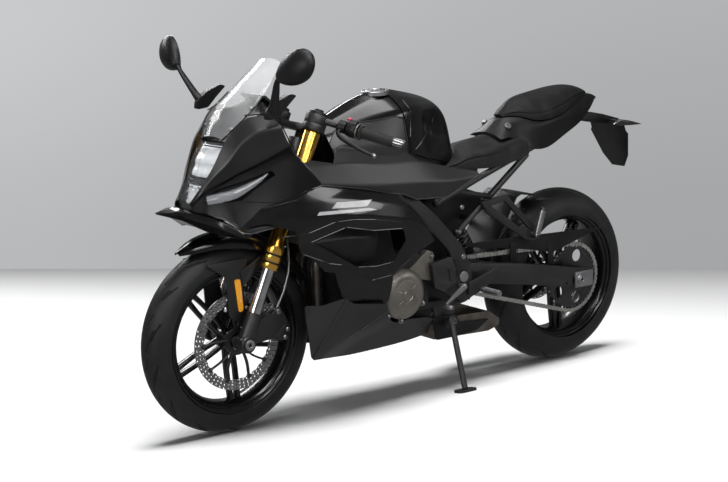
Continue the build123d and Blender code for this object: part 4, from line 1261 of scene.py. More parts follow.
SIDE_PANEL = Panel(
    "side_fairing", ("side_fairings",), Slot.gloss_black, SIDE_STATIONS,
    ((1192, 784), (1239, 779), (1409, 736), (1478, 682), (1398, 688), (1298, 652), (1254, 530), (1138, 500),
     (1129, 477), (1092, 411), (1057, 392), (900, 366), (902, 462), (782, 535), (738, 552), (802, 638),
     (843, 676), (877, 718), (1029, 755)),
    windows=(((1237, 612), (1115, 646), (1005, 622), (882, 614), (863, 573), (908, 505), (977, 500),
              (1057, 509)),),
    bore=(WHEELBASE, FRONT_RADIUS, FRONT_RADIUS + 16), flow=2.5, crease=0.6, folds=SIDE_FOLDS,
    beads=(((1353, 641), (1257, 643), (1160, 669), (1085, 668), (1009, 659), (893, 635), (827, 611),
            (787, 586)),
           ((1263, 576), (1166, 535), (1116, 524), (1085, 501), (989, 455), (902, 462), (818, 517),
            (757, 556)),
           ((1239, 779), (1192, 784), (1029, 755), (877, 718), (843, 676), (802, 638), (738, 552)),
           ((1409, 736), (1300, 752), (1239, 779)),
           ((1237, 612), (1115, 646), (1005, 622), (882, 614), (863, 573)),
           ((1237, 612), (1057, 509), (977, 500), (908, 505), (863, 573))))
BELLY_PANEL = Panel(
    "belly_pan", ("belly_pan",), Slot.satin_black, SIDE_STATIONS,
    ((1231, 402), (1176, 396), (1098, 412), (1057, 388), (898, 362), (888, 320), (842, 292), (700, 276),
     (655, 262), (655, 180), (1150, 180), (1218, 236)), bore=(822, 378, 96),
    folds=((1087, 411, 1210, 237, 0.35, 90), (1097, 262, 909, 337, 0.30, 60)),
    beads=(((1087, 411), (1210, 237)), ((909, 337), (1097, 262))))
STRIPE_LOW, STRIPE_HIGH = (
    Panel(name, (), Slot.gloss_black, SIDE_STATIONS, outline, wall=-1.2, corner=1.0, flow=2.5, crease=0.6,
          folds=SIDE_FOLDS, trim=Trim.silver_stripe)
    for name, outline in (("stripe_low", ((1231, 697), (1221, 707), (1023, 697), (994, 688))),
                          ("stripe_high", ((1172, 712), (1150, 728), (1006, 720), (1034, 703)))))
TANK_HUMP = Panel(
    "tank_hump", (), Slot.gloss_black, Tank.stations,
    ((800, 1060), (500, 1060), (500, 778), (560, 778), (778, 836), (784, 951)),
    wall=-4.0, corner=6.0, flow=5.3, crease=1.4,
    beads=(((756, 1000), (760, 940), (770, 880), (766, 838), (656, 800)),
           ((600, 930), (650, 892), (745, 842))))
TANK_SIDE = Panel(
    "tank_side", (), Slot.satin_black, Tank.stations,
    ((1076, 876), (1040, 922), (1000, 943), (830, 957), (792, 951), (786, 836), (870, 836), (1000, 836),
     (1070, 850)),
    wall=-3.0, corner=12.0, flow=5.3, crease=1.4,
    beads=(((1070, 884), (1040, 922), (1000, 943), (830, 957), (792, 951), (786, 840)),))
COVER_PANEL = Panel(
    "tank_cover", ("tank_covers",), Slot.satin_black,
    ((1232, ((118, 880), (148, 838), (168, 785), (168, 735))),
     (1170, ((120, 876), (153, 834), (172, 780), (172, 730))),
     (1050, ((124, 872), (162, 834), (182, 765), (182, 720))),
     (900, ((122, 856), (158, 814), (180, 752), (180, 690))),
     (760, ((108, 864), (150, 812), (178, 745), (178, 680))),
     (640, ((80, 828), (136, 784), (172, 735), (172, 670))),
     (460, ((118, 790), (136, 765), (150, 735), (150, 680)))),
    ((1224, 788), (1224, 842), (1194, 850), (1106, 834), (1064, 884), (1046, 886), (945, 866), (811, 866),
     (790, 836), (757, 812), (624, 776), (500, 752), (496, 738), (560, 712), (655, 684), (792, 692),
     (845, 714), (972, 738), (1100, 762)), flow=2.5, crease=0.5,
    beads=(((1190, 850), (1108, 834), (1064, 884), (1046, 886), (945, 866), (811, 866), (790, 836),
            (757, 812), (624, 776), (502, 752)),
           ((1150, 772), (972, 738), (845, 714), (792, 692), (655, 684), (500, 740))))
NOSE_PANEL = Panel(
    "nose_cowl", ("nose_panels",), Slot.gloss_black,
    ((1560, ((34, 744), (42, 741), (48, 737), (48, 733), (50, 722))),
     (1525, ((54, 800), (60, 790), (62, 781), (56, 770), (72, 715))),
     (1500, ((72, 848), (84, 828), (78, 796), (70, 784), (104, 700))),
     (1466, ((84, 922), (112, 866), (98, 815), (88, 802), (160, 668))),
     (1430, ((88, 966), (128, 926), (121, 838), (108, 826), (190, 648))),
     (1390, ((106, 1000), (150, 960), (148, 860), (136, 846), (204, 650))),
     (1345, ((150, 1003), (180, 970), (178, 888), (164, 872), (216, 668))),
     (1300, ((170, 1003), (196, 975), (202, 915), (188, 896), (226, 690))),
     (1180, ((170, 1003), (192, 985), (212, 905), (204, 880), (226, 700)))),
    ((1570, 716), (1570, 760), (1536, 800), (1470, 936), (1400, 1012), (1345, 1010), (1335, 1000),
     (1308, 924), (1262, 862), (1196, 790), (1239, 768), (1300, 700), (1345, 676), (1442, 656), (1492, 700)),
    windows=(DAY_LAMP,), window_corner=5.0, flow=3.0, crease=0.7, trim=Trim.cowl_black,
    beads=(((1400, 1004), (1345, 1008), (1329, 990), (1303, 925), (1258, 860), (1200, 792)),))
# Lower nose: a thin sheet over the nose cowl in a darker, duller copy of its paint: painted shade.
NOSE_SHADE_SHEET = Panel(
    "nose_cheek", (), Slot.gloss_black, NOSE_PANEL.stations,
    ((1568, 718), (1566, 740), (1525, 781), (1500, 796), (1466, 815), (1430, 838), (1390, 860), (1345, 888),
     (1304, 913), (1262, 859), (1200, 790), (1240, 770), (1302, 702), (1346, 678), (1441, 658), (1490, 702)),
    windows=(DAY_LAMP,), wall=-1.0, corner=1.0, window_corner=5.0, flow=3.0, crease=0.7,
    trim=Trim.cheek_black,
    beads=(((1545, 750), (1440, 750), (1323, 744), (1262, 762)),
           ((1492, 716), (1451, 662), (1345, 680), (1265, 700))))
VENT_PANEL = Panel(
    "vent_panel", ("vent_panels",), Slot.black_plastic,
    ((1228, ((196, 620), (200, 600), (184, 560))), (1086, ((176, 640), (206, 606), (172, 500))),
     (1000, ((172, 640), (204, 590), (172, 500))), (940, ((158, 640), (172, 590), (164, 500)))),
    ((1224, 604), (1086, 636), (990, 618), (945, 612), (962, 512), (1048, 512), (1171, 566)), flow=5.0,
    crease=1.0)


@dataclass
class Cushion:
    """Seat pad: crowned foam under tight vinyl, with a pinched seam line where the top meets the side."""

    name: str
    node: str
    stations: Stations
    seam: float
    fill: float

    def pressed(self, grid: np.ndarray) -> np.ndarray:
        """Pinch the seam line and puff the vinyl just above it, less towards both ends.

        Args:
            grid: (rows, columns, 3) points of the smooth pad.
        Returns:
            The grid with its seam.
        """
        columns = grid.shape[1]
        share = np.abs(np.linspace(-1, 1, columns))[None, :]
        groove = np.exp(-0.5 * ((share - self.seam) / 0.012) ** 2)
        puff = np.exp(-0.5 * ((share - self.seam + 0.09) / 0.06) ** 2)
        normal = grid_normals(grid)
        up = np.where(np.mean(normal[:, columns // 2, 2]) > 0, 1.0, -1.0)
        row = np.arange(len(grid))
        taper = smoothstep(np.minimum(row, row[::-1])[:, None], 0, 8)
        return grid + normal * up * ((puff * 1.6 - groove * 2.6) * taper)[..., None]

    def build(self, shop: Workshop) -> None:
        """Make the pad."""
        body = half_body(self.stations, 12, 12, 6.0, 3.5, self.pressed)
        piece = shop.make(self.name, body, "chassis", Slot.seat_vinyl, self.node, smooth=55)


RIDER_PAD = Cushion("rider_pad", "rider_seat", (
    (590, ((0, 764), (44, 763), (60, 759), (62, 750))), (516, ((0, 780), (60, 778), (84, 770), (90, 752))),
    (503, ((0, 824), (50, 816), (88, 794), (96, 752))), (400, ((0, 836), (60, 826), (112, 800), (124, 748))),
    (330, ((0, 852), (50, 832), (106, 812), (128, 760))), (265, ((0, 856), (50, 852), (88, 844), (122, 772))),
    (236, ((0, 836), (80, 834), (112, 828), (116, 780)))), 0.72, 0.8)
PILLION_PAD = Cushion("pillion_pad", "pillion_seat", (
    (276, ((0, 912), (10, 911), (20, 909), (22, 905))), (255, ((0, 935), (22, 926), (36, 914), (36, 906))),
    (219, ((0, 966), (30, 948), (58, 920), (60, 908))), (190, ((0, 975), (48, 956), (88, 905), (90, 888))),
    (120, ((0, 986), (60, 962), (102, 915), (102, 890))), (40, ((0, 996), (62, 978), (92, 935), (90, 905))),
    (-30, ((0, 1000), (52, 988), (72, 958), (68, 935))), (-90, ((0, 990), (40, 982), (52, 966), (50, 955))),
    (-124, ((0, 972), (24, 968), (30, 962), (28, 955)))), 0.66, 0.8)


@dataclass
class Tail:
    """Tail cowl that carries both seats, with a bright fastener on each side."""

    stations: Stations = (
        (335, ((0, 856), (30, 852), (60, 846), (80, 836))),
        (300, ((0, 884), (30, 878), (62, 862), (84, 842))),
        (276, ((0, 904), (20, 904), (56, 884), (88, 838))),
        (255, ((0, 905), (34, 905), (60, 885), (92, 828))),
        (219, ((0, 907), (57, 907), (78, 884), (100, 800))),
        (190, ((0, 887), (86, 887), (98, 872), (104, 790))),
        (120, ((0, 889), (98, 889), (104, 878), (94, 788))),
        (40, ((0, 904), (86, 904), (92, 884), (80, 822))),
        (-30, ((0, 934), (64, 934), (70, 900), (60, 842))),
        (-90, ((0, 954), (46, 954), (50, 922), (42, 860))),
        (-124, ((0, 954), (28, 954), (34, 935), (28, 880))),
        (-160, ((0, 958), (22, 955), (26, 938), (20, 900))),
        (-191, ((0, 945), (10, 943), (12, 938), (8, 930))))
    fastener: Triple = (282.0, 60.0, 877.0)

    def build(self, shop: Workshop) -> None:
        """Make the cowl and its fasteners."""
        shop.make("tail_shell", half_body(self.stations, 8, 8, 3.5, 1.2), "chassis", Slot.black_plastic,
                  "tail_cowl", smooth=45)
        buttons = []
        for side in (LEFT, RIGHT):
            x, y, z = self.fastener
            buttons.append(drum((x, side * (y - 3), z - 2), (0.2, 0.75 * side, 0.6),
                                [(0, 12), (6, 12), (7.5, 10.5), (8, 6), (6.5, 5.6), (6.5, 1)], 28))
        shop.make("seat_fasteners", joined(*buttons), "chassis", Slot.bare_aluminium)


# ---------------------------------------------------------------- nose, lamps, screen and mirrors
@dataclass
class Headlight:
    """Centre headlight: clear bowed lens over a pale bowl and floor, dark bars and a cluster of lamps."""

    stations: Stations = (
        (1556, ((0, 748), (16, 745), (32, 738), (32, 722))),
        (1533, ((0, 796), (24, 790), (45, 766), (48, 720))),
        (1518, ((0, 836), (36, 828), (58, 798), (60, 718))),
        (1505, ((0, 870), (40, 862), (64, 835), (66, 716))),
        (1466, ((0, 924), (54, 922), (78, 920), (78, 716))),
        (1448, ((0, 924), (54, 922), (76, 918), (76, 716))))
    lens: Profile = ((724, 33), (745, 36), (770, 46), (800, 55), (835, 63), (870, 70), (905, 76), (919, 72))
    bowl: Profile = ((818, 50), (835, 54), (870, 62), (908, 68))
    floor: Profile = ((736, 18), (760, 27), (790, 36))
    lamps: Sequence[Triple] = ((18, 773, 14.5), (41, 786, 7.0), (17, 742, 8.5))

    def bow(self, y: np.ndarray, z: np.ndarray, back: float = 0.0) -> np.ndarray:
        """X of the lens at (y, z): the stations' middle line, less a bow that grows with y squared."""
        heights, places = np.array([(profile[0][1], x) for x, profile in self.stations[:5]], float).T
        return np.interp(z, heights, places) - (y / 66) ** 2 * 26 - back

    def sheet_of(self, edges: Profile, back: float, steps: int = 24) -> np.ndarray:
        """Grid over the lens between half widths given as (z, half width), set back from its face.

        Args:
            edges: the half widths.
            back: distance behind the lens.
            steps: rows and columns.
        Returns:
            A (steps, steps, 3) grid.
        """
        table = np.array(edges, float)
        z = np.linspace(table[0, 0], table[-1, 0], steps)[:, None]
        half = np.interp(z, table[:, 0], table[:, 1])
        y = np.linspace(-1, 1, steps)[None, :] * half
        return np.stack([self.bow(y, z, back), y, np.broadcast_to(z, y.shape)], axis=2)

    def build(self, shop: Workshop) -> None:
        """Make the housing, lens, bowl, floor, bars and lamps."""
        housing = [(x - 34, [(max(y - 3, 0), z - (2 if z > 730 else -2)) for y, z in profile])
                   for x, profile in self.stations]
        shop.make("lamp_housing", half_body(housing, 4, 5, 1.5, 1.0), "chassis", Slot.black_plastic,
                  "headlight")
        shop.make("lamp_lens", shell(self.sheet_of(self.lens, 0.0), 2.5), "chassis", Slot.lamp_clear)
        upper = self.sheet_of(self.bowl, 16.0, 28)
        share = np.linspace(-1, 1, 28)
        ripple = np.sin(np.linspace(0, 5 * pi, 28))[:, None] * 2.0 + np.cos(3 * pi * share)[None, :] * 1.5
        upper[..., 0] += ripple - 5 * (1 - share[None, :] ** 2)
        shop.make("lamp_bowl", shell(upper, 3.0), "chassis", Slot.lamp_clear, trim=Trim.lamp_white)
        lower = self.sheet_of(self.floor, 24.0, 12)
        shop.make("lamp_floor", shell(lower, 3.0), "chassis", Slot.lamp_clear, trim=Trim.lamp_white)
        bars, bezels, lamps = [], [], []
        for z, half in ((809, 50), (798, 48)):
            y = np.linspace(-half, half, 21)
            bars.append(swept(np.stack([self.bow(y, z, 9.0), y, np.full(21, z)], axis=1), 2.6, 10))
        brow = np.linspace(-66, 66, 25)
        bars.append(swept(np.stack([self.bow(brow, 906, 8.0), brow, 906 + 3 * np.cos(brow / 42)], axis=1),
                          2.4, 10))
        for side in (LEFT, RIGHT):
            for y, z, r in self.lamps:
                x = float(self.bow(np.array(side * y), np.array(z), 26.0))
                way = (1, 0, 0.12)
                bezels.append(drum((x - 6, side * y, z), way,
                                   [(0, r), (11, r), (12, r - 1.2), (8, r - 2.4), (4, r * 0.4)], 28))
                lamps.append(drum((x - 1, side * y, z), way,
                                  [(0, r - 3.4), (5, r - 3.6), (8, r * 0.52), (9, r * 0.2)], 24))
        shop.make("lamp_bars", joined(*bars), "chassis", Slot.black_plastic)
        shop.make("lamp_bezels", joined(*bezels), "chassis", Slot.lamp_clear, trim=Trim.lamp_chrome)
        shop.make("lamp_projectors", joined(*lamps), "chassis", Slot.lamp_clear, trim=Trim.lamp_white)


@dataclass
class DayLamps:
    """Blade-shaped daytime lamp on each cheek: a bright curved tube in a dark recess."""

    path: Sequence[Pair] = ((1512, 752), (1480, 760), (1444, 772), (1408, 792), (1378, 812),
                                           (1356, 830))
    sizes: Sequence[float] = (19, 21, 19, 14, 9, 3)

    def build(self, shop: Workshop) -> None:
        """Make both tubes and their recess trays."""
        spots = eased([(x, 0, z) for x, z in self.path], 6)
        spots[:, 1] = skin_y(NOSE_PANEL.stations, spots[:, 0], spots[:, 2]) - 11
        size = np.interp(np.linspace(0, 1, len(spots)), np.linspace(0, 1, len(self.sizes)), self.sizes)
        shop.make("day_lamps", both(swept(spots, size, 18, 0.8)), "chassis", Slot.lamp_clear,
                  "running_lights", trim=Trim.lamp_pearl)
        shop.make("day_lamp_trays", both(self.tray()), "chassis", Slot.black_plastic)

    @staticmethod
    def tray() -> Mesh:
        """Open tray behind the window: rim, floor, and both again one wall further in."""
        x, z = np.array(DAY_LAMP, float).T
        depth = skin_y(NOSE_PANEL.stations, x, z)
        wall = np.array([0, 3, 0])
        rim = np.stack([x, depth - 3, z], axis=1)
        floor = np.stack([x * 0.97 + x.mean() * 0.03, depth - 24, z * 0.94 + z.mean() * 0.06], axis=1)
        count = len(x)
        pairs = [(i, (i + 1) % count) for i in range(count)]
        faces = [[a + low, b + low, count + b + low, count + a + low]
                 for low in (0, 2 * count) for a, b in pairs]
        faces += [list(range(count, 2 * count)), list(range(2 * count, 3 * count))[::-1]]
        faces += [[a, 3 * count + a, 3 * count + b, b] for a, b in pairs]
        return np.concatenate([rim, floor, floor - wall, rim - wall]), faces


@dataclass
class Screen:
    """Bowed clear screen on dark side mounts; rows are (x, half width, height of the edge, of the middle)."""

    rows: Sequence[tuple[float, float, float, float]] = (
        (1452, 52, 930, 936), (1403, 94, 991, 1008), (1331, 94, 1052, 1084), (1233, 62, 1150, 1160))
    wall: float = 3.5

    def surface(self) -> np.ndarray:
        """Grid of bows: z falls from the middle by the square of the share across."""
        table = np.array(self.rows, float)
        fine = eased([(x, half, edge) for x, half, edge, _ in table], 10)
        middle = eased([(x, 0, top) for x, _, _, top in table], 10)[:, 2]
        share = np.linspace(-1, 1, 33)[None, :]
        rise = (middle - fine[:, 2])[:, None] * (1 - share ** 2)
        x = np.broadcast_to(fine[:, :1], rise.shape)
        return np.stack([x, fine[:, 1:2] * share, fine[:, 2:3] + rise], axis=2)

    def build(self, shop: Workshop) -> None:
        """Make the screen, its side mounts and their bolts."""
        grid = self.surface()
        shop.make("screen", shell(grid, -self.wall), "chassis", Slot.screen_clear, "windshield")
        strips = [swept(grid[:22, edge] + np.array([4, 0, -5]), 4.2, 10, 0.6) for edge in (0, -1)]
        bolts = [drum(grid[row, column] + np.array([0, 0, 1]), (0.6, 0.35 * side, 0.7),
                      [(-2, 5), (2, 5), (3, 3.6)], 16)
                 for row in (5, 15) for column, side in ((1, RIGHT), (-2, LEFT))]
        shop.make("screen_mounts", joined(*strips), "chassis", Slot.black_plastic)
        shop.make("screen_bolts", joined(*bolts), "chassis", Slot.bare_aluminium)


@dataclass
class Mirrors:
    """Egg-shaped mirror heads on tapered stalks that stand on finned bases."""

    centre: Triple = (1378.0, 340.0, 1160.0)
    out: Triple = (-0.18, 0.87, 0.46)
    long_half: float = 76.0
    short_half: float = 44.0
    depth: float = 34.0
    stalk: Sequence[Triple] = (
        (1362, 196, 1020), (1370, 214, 1040), (1384, 244, 1082), (1394, 266, 1114), (1392, 284, 1130))
    fin: Profile = ((1386, 996), (1346, 1000), (1312, 1034), (1278, 1064), (1300, 1070), (1350, 1050),
                    (1382, 1024))

    def head(self) -> tuple[Mesh, Mesh]:
        """Housing and glass: an egg outline, shrunk towards the front along a quarter ellipse."""
        out = np.array(self.out) / np.linalg.norm(self.out)
        up = np.array([0.0, -out[2], out[1]])
        up /= np.linalg.norm(up)
        ahead = np.cross(out, up) * -1
        ahead = ahead if ahead[0] > 0 else -ahead
        turn = full_turn(48)
        long = self.long_half * np.sign(np.cos(turn)) * np.abs(np.cos(turn)) ** 0.86
        short = self.short_half * np.sin(turn) * (1 + 0.22 * np.cos(turn)) * (1 - 0.1 * np.cos(2 * turn))

        def ring(scale: float, step: float, shift: float = 0.0) -> np.ndarray:
            """The egg scaled, a step ahead of the glass side and shifted along its length."""
            spot = np.array(self.centre) + (long[:, None] * scale + shift) * out
            return spot + short[:, None] * scale * up + step * ahead

        rings = [ring(0.93, 3.0), ring(0.93, -4.0), ring(0.985, -5.0)]
        for share in (0.0, 0.12, 0.28, 0.45, 0.62, 0.78, 0.9, 0.97, 1.0):
            rings.append(ring(np.sqrt(max(1 - share ** 2.2, 0.0)) * 0.97 + 0.03, self.depth * share,
                              -10 * share))
        glass = [ring(0.93, -1.0), ring(0.93, -2.4), ring(0.9, -2.6), ring(0.5, -2.6)]
        return tuple(as_mesh(np.array(part), wrap_columns=True, caps=True) for part in (rings, glass))

    def build(self, shop: Workshop) -> None:
        """Make both mirrors."""
        housing, glass = self.head()
        stalk_line = eased(self.stalk, 6)
        widths = np.interp(np.linspace(0, 1, len(stalk_line)), (0, 0.3, 0.75, 1), (20, 14, 9, 12))
        stalk = swept(stalk_line, widths, 18, 0.7)
        fin = prism(rounded(self.fin, 8), 182, 203)
        shop.make("mirror_bodies", both(housing, stalk, fin), "chassis", Slot.black_plastic, "mirrors",
                  smooth=50)
        shop.make("mirror_glasses", both(glass), "chassis", Slot.black_plastic, trim=Trim.mirror_glass)


# ---------------------------------------------------------------- fork, bars and front mudguard
FORK_WAY = np.array([-sin(RAKE), 0.0, cos(RAKE)])


def along_fork(distance: float, y: float) -> np.ndarray:
    """Point on a fork leg's axis, measured up from the front axle."""
    return np.array([WHEELBASE, y, FRONT_RADIUS]) + FORK_WAY * distance


@dataclass
class Fork:
    """Gold tubes with clamp collars over bright sliders, cast feet, capped tops and a brake pipe."""

    low: float = 240.0
    top: float = 748.0

    def build(self, shop: Workshop) -> None:
        """Make both legs and the front brake's pipe with its end fitting."""
        y, length = FORK_HALF, self.top - self.low
        collars = [(0, 24), (0, 28)]
        for start in (1, 26, 54):
            collars += [(start, 29), (start + 17, 29), (start + 18, 27), (start + 23, 27)]
        collars += [(80, 26.2), (length - 2, 26), (length, 25)]
        tube = drum(along_fork(self.low, y), FORK_WAY, collars, 64)
        slider = drum(along_fork(92, y), FORK_WAY, [(0, 20.5), (self.low - 80, 20.5)], 64)
        foot = drum(along_fork(-8, y), FORK_WAY,
                    [(0, 22), (3, 25), (84, 25), (92, 23.5), (104, 23.5), (107, 21)], 48)
        boss = drum((WHEELBASE, y - 26, FRONT_RADIUS), (0, 1, 0), [(0, 24), (3, 27), (49, 27), (52, 24)], 48)
        lug = prism(rounded(((1400, 330), (1330, 380), (1270, 372), (1262, 340), (1300, 300), (1392, 290)),
                            9), 83, 99)
        cap = drum(along_fork(self.top - 6, y), FORK_WAY,
                   [(0, 28), (8, 28), (10, 25), (11, 15), (16, 15), (18, 13)], 48)
        shop.make("fork_tubes_turned", both(tube), "steering", Slot.gold_anodised, "fork_tubes", smooth=50)
        shop.make("fork_sliders", both(slider), "steering", Slot.polished_tube, "fork_legs")
        shop.make("fork_feet", both(foot, boss, lug), "steering", Slot.satin_black)
        gaps = [drum(along_fork(self.low + start, y), FORK_WAY, [(0, 27.6), (8, 27.6)], 48)
                for start in (17.5, 44.5)]
        shop.make("fork_caps", both(cap, *gaps), "steering", Slot.engine_black)
        hose = eased([(1290, 92, 388), (1276, 96, 418), (1262, 98, 450), (1240, 92, 508), (1226, 74, 560),
                      (1222, 60, 600)])
        banjo = drum((1290, 84, 384), (0, 1, 0), [(0, 8), (14, 8), (15, 6), (20, 6), (21, 4)], 24)
        shop.make("brake_pipe", swept(hose, 3.2, 12), "steering", Slot.chain_steel)
        shop.make("brake_banjo", banjo, "steering", Slot.bare_aluminium)


@dataclass
class Cockpit:
    """Clip-on bars: ribbed grips, switch housings, slim levers and fluted end weights."""

    end: Triple = (986.0, 372.0, 900.0)
    lever: Sequence[tuple[float, Triple]] = (
        (96, (8, 0, -4)), (98, (26, 0, -12)), (124, (42, 0, -22)), (190, (62, 0, -30)), (250, (66, 0, -38)))

    def at(self, distance: float, shift: Sequence[float] = (0, 0, 0)) -> np.ndarray:
        """Point of the left bar, measured out from the fork tube's axis."""
        start = along_fork(730, FORK_HALF)
        way = np.array(self.end) - start
        return start + way / np.linalg.norm(way) * distance + np.array(shift)

    def build(self, shop: Workshop) -> None:
        """Make both sides of the bars and the instrument."""
        way = self.at(1) - self.at(0)
        ribs = ribbed(9, 5, 20, ((0, 17.3), (2.6, 17.3), (3.1, 16.5), (4.6, 16.5)))
        grip = drum(self.at(152), way, [(0, 20), (1, 23.5), (5, 24), (7, 22), (8, 17.5)] + ribs
                    + [(110, 16.5), (111, 15)], 48)
        weight = drum(self.at(264), way,
                      [(0, 12), (2, 15.6), (5, 16), (36, 16), (40, 14), (42, 9), (39, 8)], 96, (12, 1.3))
        shop.make("ribbed_grips", both(grip), "steering", Slot.grip_rubber, "grips")
        shop.make("end_weights", both(weight), "steering", Slot.bare_aluminium)
        shop.refined("handlebars", "steering", 1.0)
        shop.refined("fork_clamps", "steering", 2.5)
        housing = drum(self.at(108), way,
                       [(0, 18), (3, 23), (16, 25), (17, 23.6), (19, 23.6), (20, 25), (32, 24), (33, 20)], 48)
        block = drum(self.at(114, (0, 0, 10)), way, [(0, 15), (2, 20), (26, 20), (28, 16)], 40)
        perch = drum(self.at(78), way, [(0, 16), (2, 19.5), (26, 19.5), (28, 16)], 40)
        knuckle = drum(self.at(88, (10, 0, -14)), (0, 0, 1), [(0, 9), (2, 11), (20, 11), (22, 9)], 32)
        collar = drum(self.at(142), way, [(0, 22), (1, 24.6), (4, 24.6), (5, 22)], 48)
        blade = swept(eased([self.at(*row) for row in self.lever], 6), np.linspace(8.2, 5.2, 25), 20, 0.75)
        ball = drum(self.at(256, (66, 0, -38)), way, [(-8, 2), (-6, 6), (0, 8.4), (6, 6), (8, 2)], 28)
        shop.make("switchgear", both(housing, block, perch, knuckle, blade), "steering", Slot.black_plastic,
                  "bar_controls", smooth=45)
        shop.make("lever_balls", both(ball), "steering", Slot.bare_aluminium)
        shop.make("switch_collars", both(collar), "steering", Slot.engine_bronze)
        dots = [drum(self.at(118 + 6 * step, (-15, -2, 17)), (-0.55, -0.2, 0.8),
                     [(0, 3), (3.4, 3), (4, 2.2)], 16)
                for step in range(3)]
        shop.make("switch_dots", both(*dots), "steering", Slot.bare_aluminium)
        red = drum(self.at(120, (4, 0, 29)), (0.1, 0, 1), [(0, 8), (4, 8), (6, 6)], 24)
        shop.make("red_buttons", both(red), "steering", Slot.black_plastic, trim=Trim.red_button)
        pot = drum(self.at(62, (34, 0, 8)), (0, 0, 1),
                   [(0, 14), (2, 16), (30, 17), (31, 19), (38, 19), (40, 17)], 40)
        shop.make("brake_reservoir", (mirrored(pot[0]), pot[1]), "steering", Slot.black_plastic)
        shop.refined("dashboard", "chassis", 5.0)
        dial = prism(rounded(((1263, 1026), (1266, 1018), (1300, 1046), (1297, 1054)), 1.5), -66, 66)
        shop.make("display", dial, "chassis", Slot.black_plastic, trim=Trim.dial_glass, edge=1.5)


@dataclass
class Mudguard:
    """Front mudguard: pointed crown that falls into side blades bolted to the fork.

    rows give the degrees round the wheel, the half width, the radius at the middle and the fall at the sides.
    """

    rows: Sequence[tuple[float, float, float, float]] = (
        (59, 10, 335, 5), (66, 36, 335, 18), (76, 54, 336, 30), (92, 62, 336, 44), (116, 64, 334, 50),
        (148, 62, 328, 46))

    def crown(self) -> np.ndarray:
        """Grid of arches, eased along the wheel: the share of the half width and the share of the fall, each
        to the power 3, add up to 1."""
        fine = eased(np.array(self.rows)[:, :3], 9)
        drop = eased([(row[3], 0, 0) for row in self.rows], 9)[:, :1]
        turn = np.linspace(-pi / 2, pi / 2, 41)[None, :]
        y = fine[:, 1:2] * np.sign(np.sin(turn)) * np.abs(np.sin(turn)) ** (2 / 3)
        radius = fine[:, 2:3] - drop * (1 - np.abs(np.cos(turn)) ** (2 / 3)) + 3.0 * np.exp(-(y / 9) ** 2)
        angle = np.radians(fine[:, :1])
        return np.stack([WHEELBASE + radius * np.cos(angle), y, FRONT_RADIUS + radius * np.sin(angle)],
                        axis=2)

    def build(self, shop: Workshop) -> None:
        """Make the mudguard, its blades, bolts and reflectors, and the caliper beside them."""
        blade = prism(rounded(((1530, 556), (1457, 506), (1448, 384), (1402, 350), (1376, 372), (1398, 480),
                               (1376, 560)), 8), 64, 69)
        arm = prism(rounded(((1396, 470), (1408, 520), (1330, 560), (1318, 540)), 6), 64, 72)
        shop.make("mudguard_crown", shell(self.crown(), 3.0), "steering", Slot.gloss_black, "front_fender",
                  smooth=60)
        shop.make("mudguard_blades", both(blade, arm), "steering", Slot.satin_black, edge=1.4)
        bolts = [drum((x, 68, z), (0, 1, 0), [(0, 6), (2.6, 6), (4, 4)], 20)
                 for x, z in ((1390, 478), (1384, 404))]
        shop.make("mudguard_bolts", both(*bolts), "steering", Slot.bare_aluminium)
        lens = prism(rounded(((1429, 498), (1408, 498), (1397, 398), (1414, 392)), 8), 68.5, 73.5)
        shop.make("reflector_lenses", both(lens), "steering", Slot.amber_lens, "reflectors", edge=1.2)
        shop.refined("front_caliper", "steering", 3.0)
        pins = [drum((x, 99, z), (0, 1, 0), [(0, 7), (3, 7), (5, 5)], 20)
                for x, z in ((1286, 380), (1252, 320), (1262, 296))]
        shop.make("caliper_pins", joined(*pins), "steering", Slot.bare_aluminium)


# ---------------------------------------------------------------- engine, frame and running gear
@dataclass
class GeneratorCover:
    """Domed left engine cover with short ribs round its plug, a case web and rim bolts."""

    x: float = 822.0
    z: float = 378.0
    radius: float = 84.0

    def build(self, shop: Workshop) -> None:
        """Make the cover, web and bolts."""
        r = self.radius
        profile = [(0, r), (10, r), (14, r - 1), (23, r - 8), (29, r - 20), (31, r - 27), (30, r - 31),
                   (31, r - 34), (34, r - 50), (34, r - 62), (31, r - 64), (31, r - 70), (33, r - 72),
                   (33, 4)]
        dome = drum((self.x, 138, self.z), (0, 1, 0), profile, 96)
        ribs = []
        for number in range(6):
            turn = radians(60 * number + 20)
            spots = [(self.x + far * cos(turn), 168 + lift, self.z + far * sin(turn))
                     for far, lift in ((28, 3.0), (44, 1.0))]
            ribs.append(swept(np.array(spots), (4.2, 2.6), 12))
        web = prism(rounded(((716, 510), (690, 500), (690, 446), (700, 404), (790, 430), (800, 452)), 9),
                    120, 146)
        shop.make("cover_dome", joined(dome, *ribs), "chassis", Slot.engine_bronze, "generator_cover",
                  smooth=40)
        shop.make("case_web", web, "chassis", Slot.engine_bronze, edge=2.5)
        places = [(700, 488), (702, 452)] + [(self.x + aside, self.z + over) for aside, over in (
            (62, -66), (8, -90), (-84, -44), (92, 12), (54, 78))]
        bolts = [drum((x, 138, z), (0, 1, 0), [(0, 9), (7, 9), (8, 6), (14, 6), (15, 4.5)], 24)
                 for x, z in places]
        shop.make("case_bolts", joined(*bolts), "chassis", Slot.bare_aluminium)


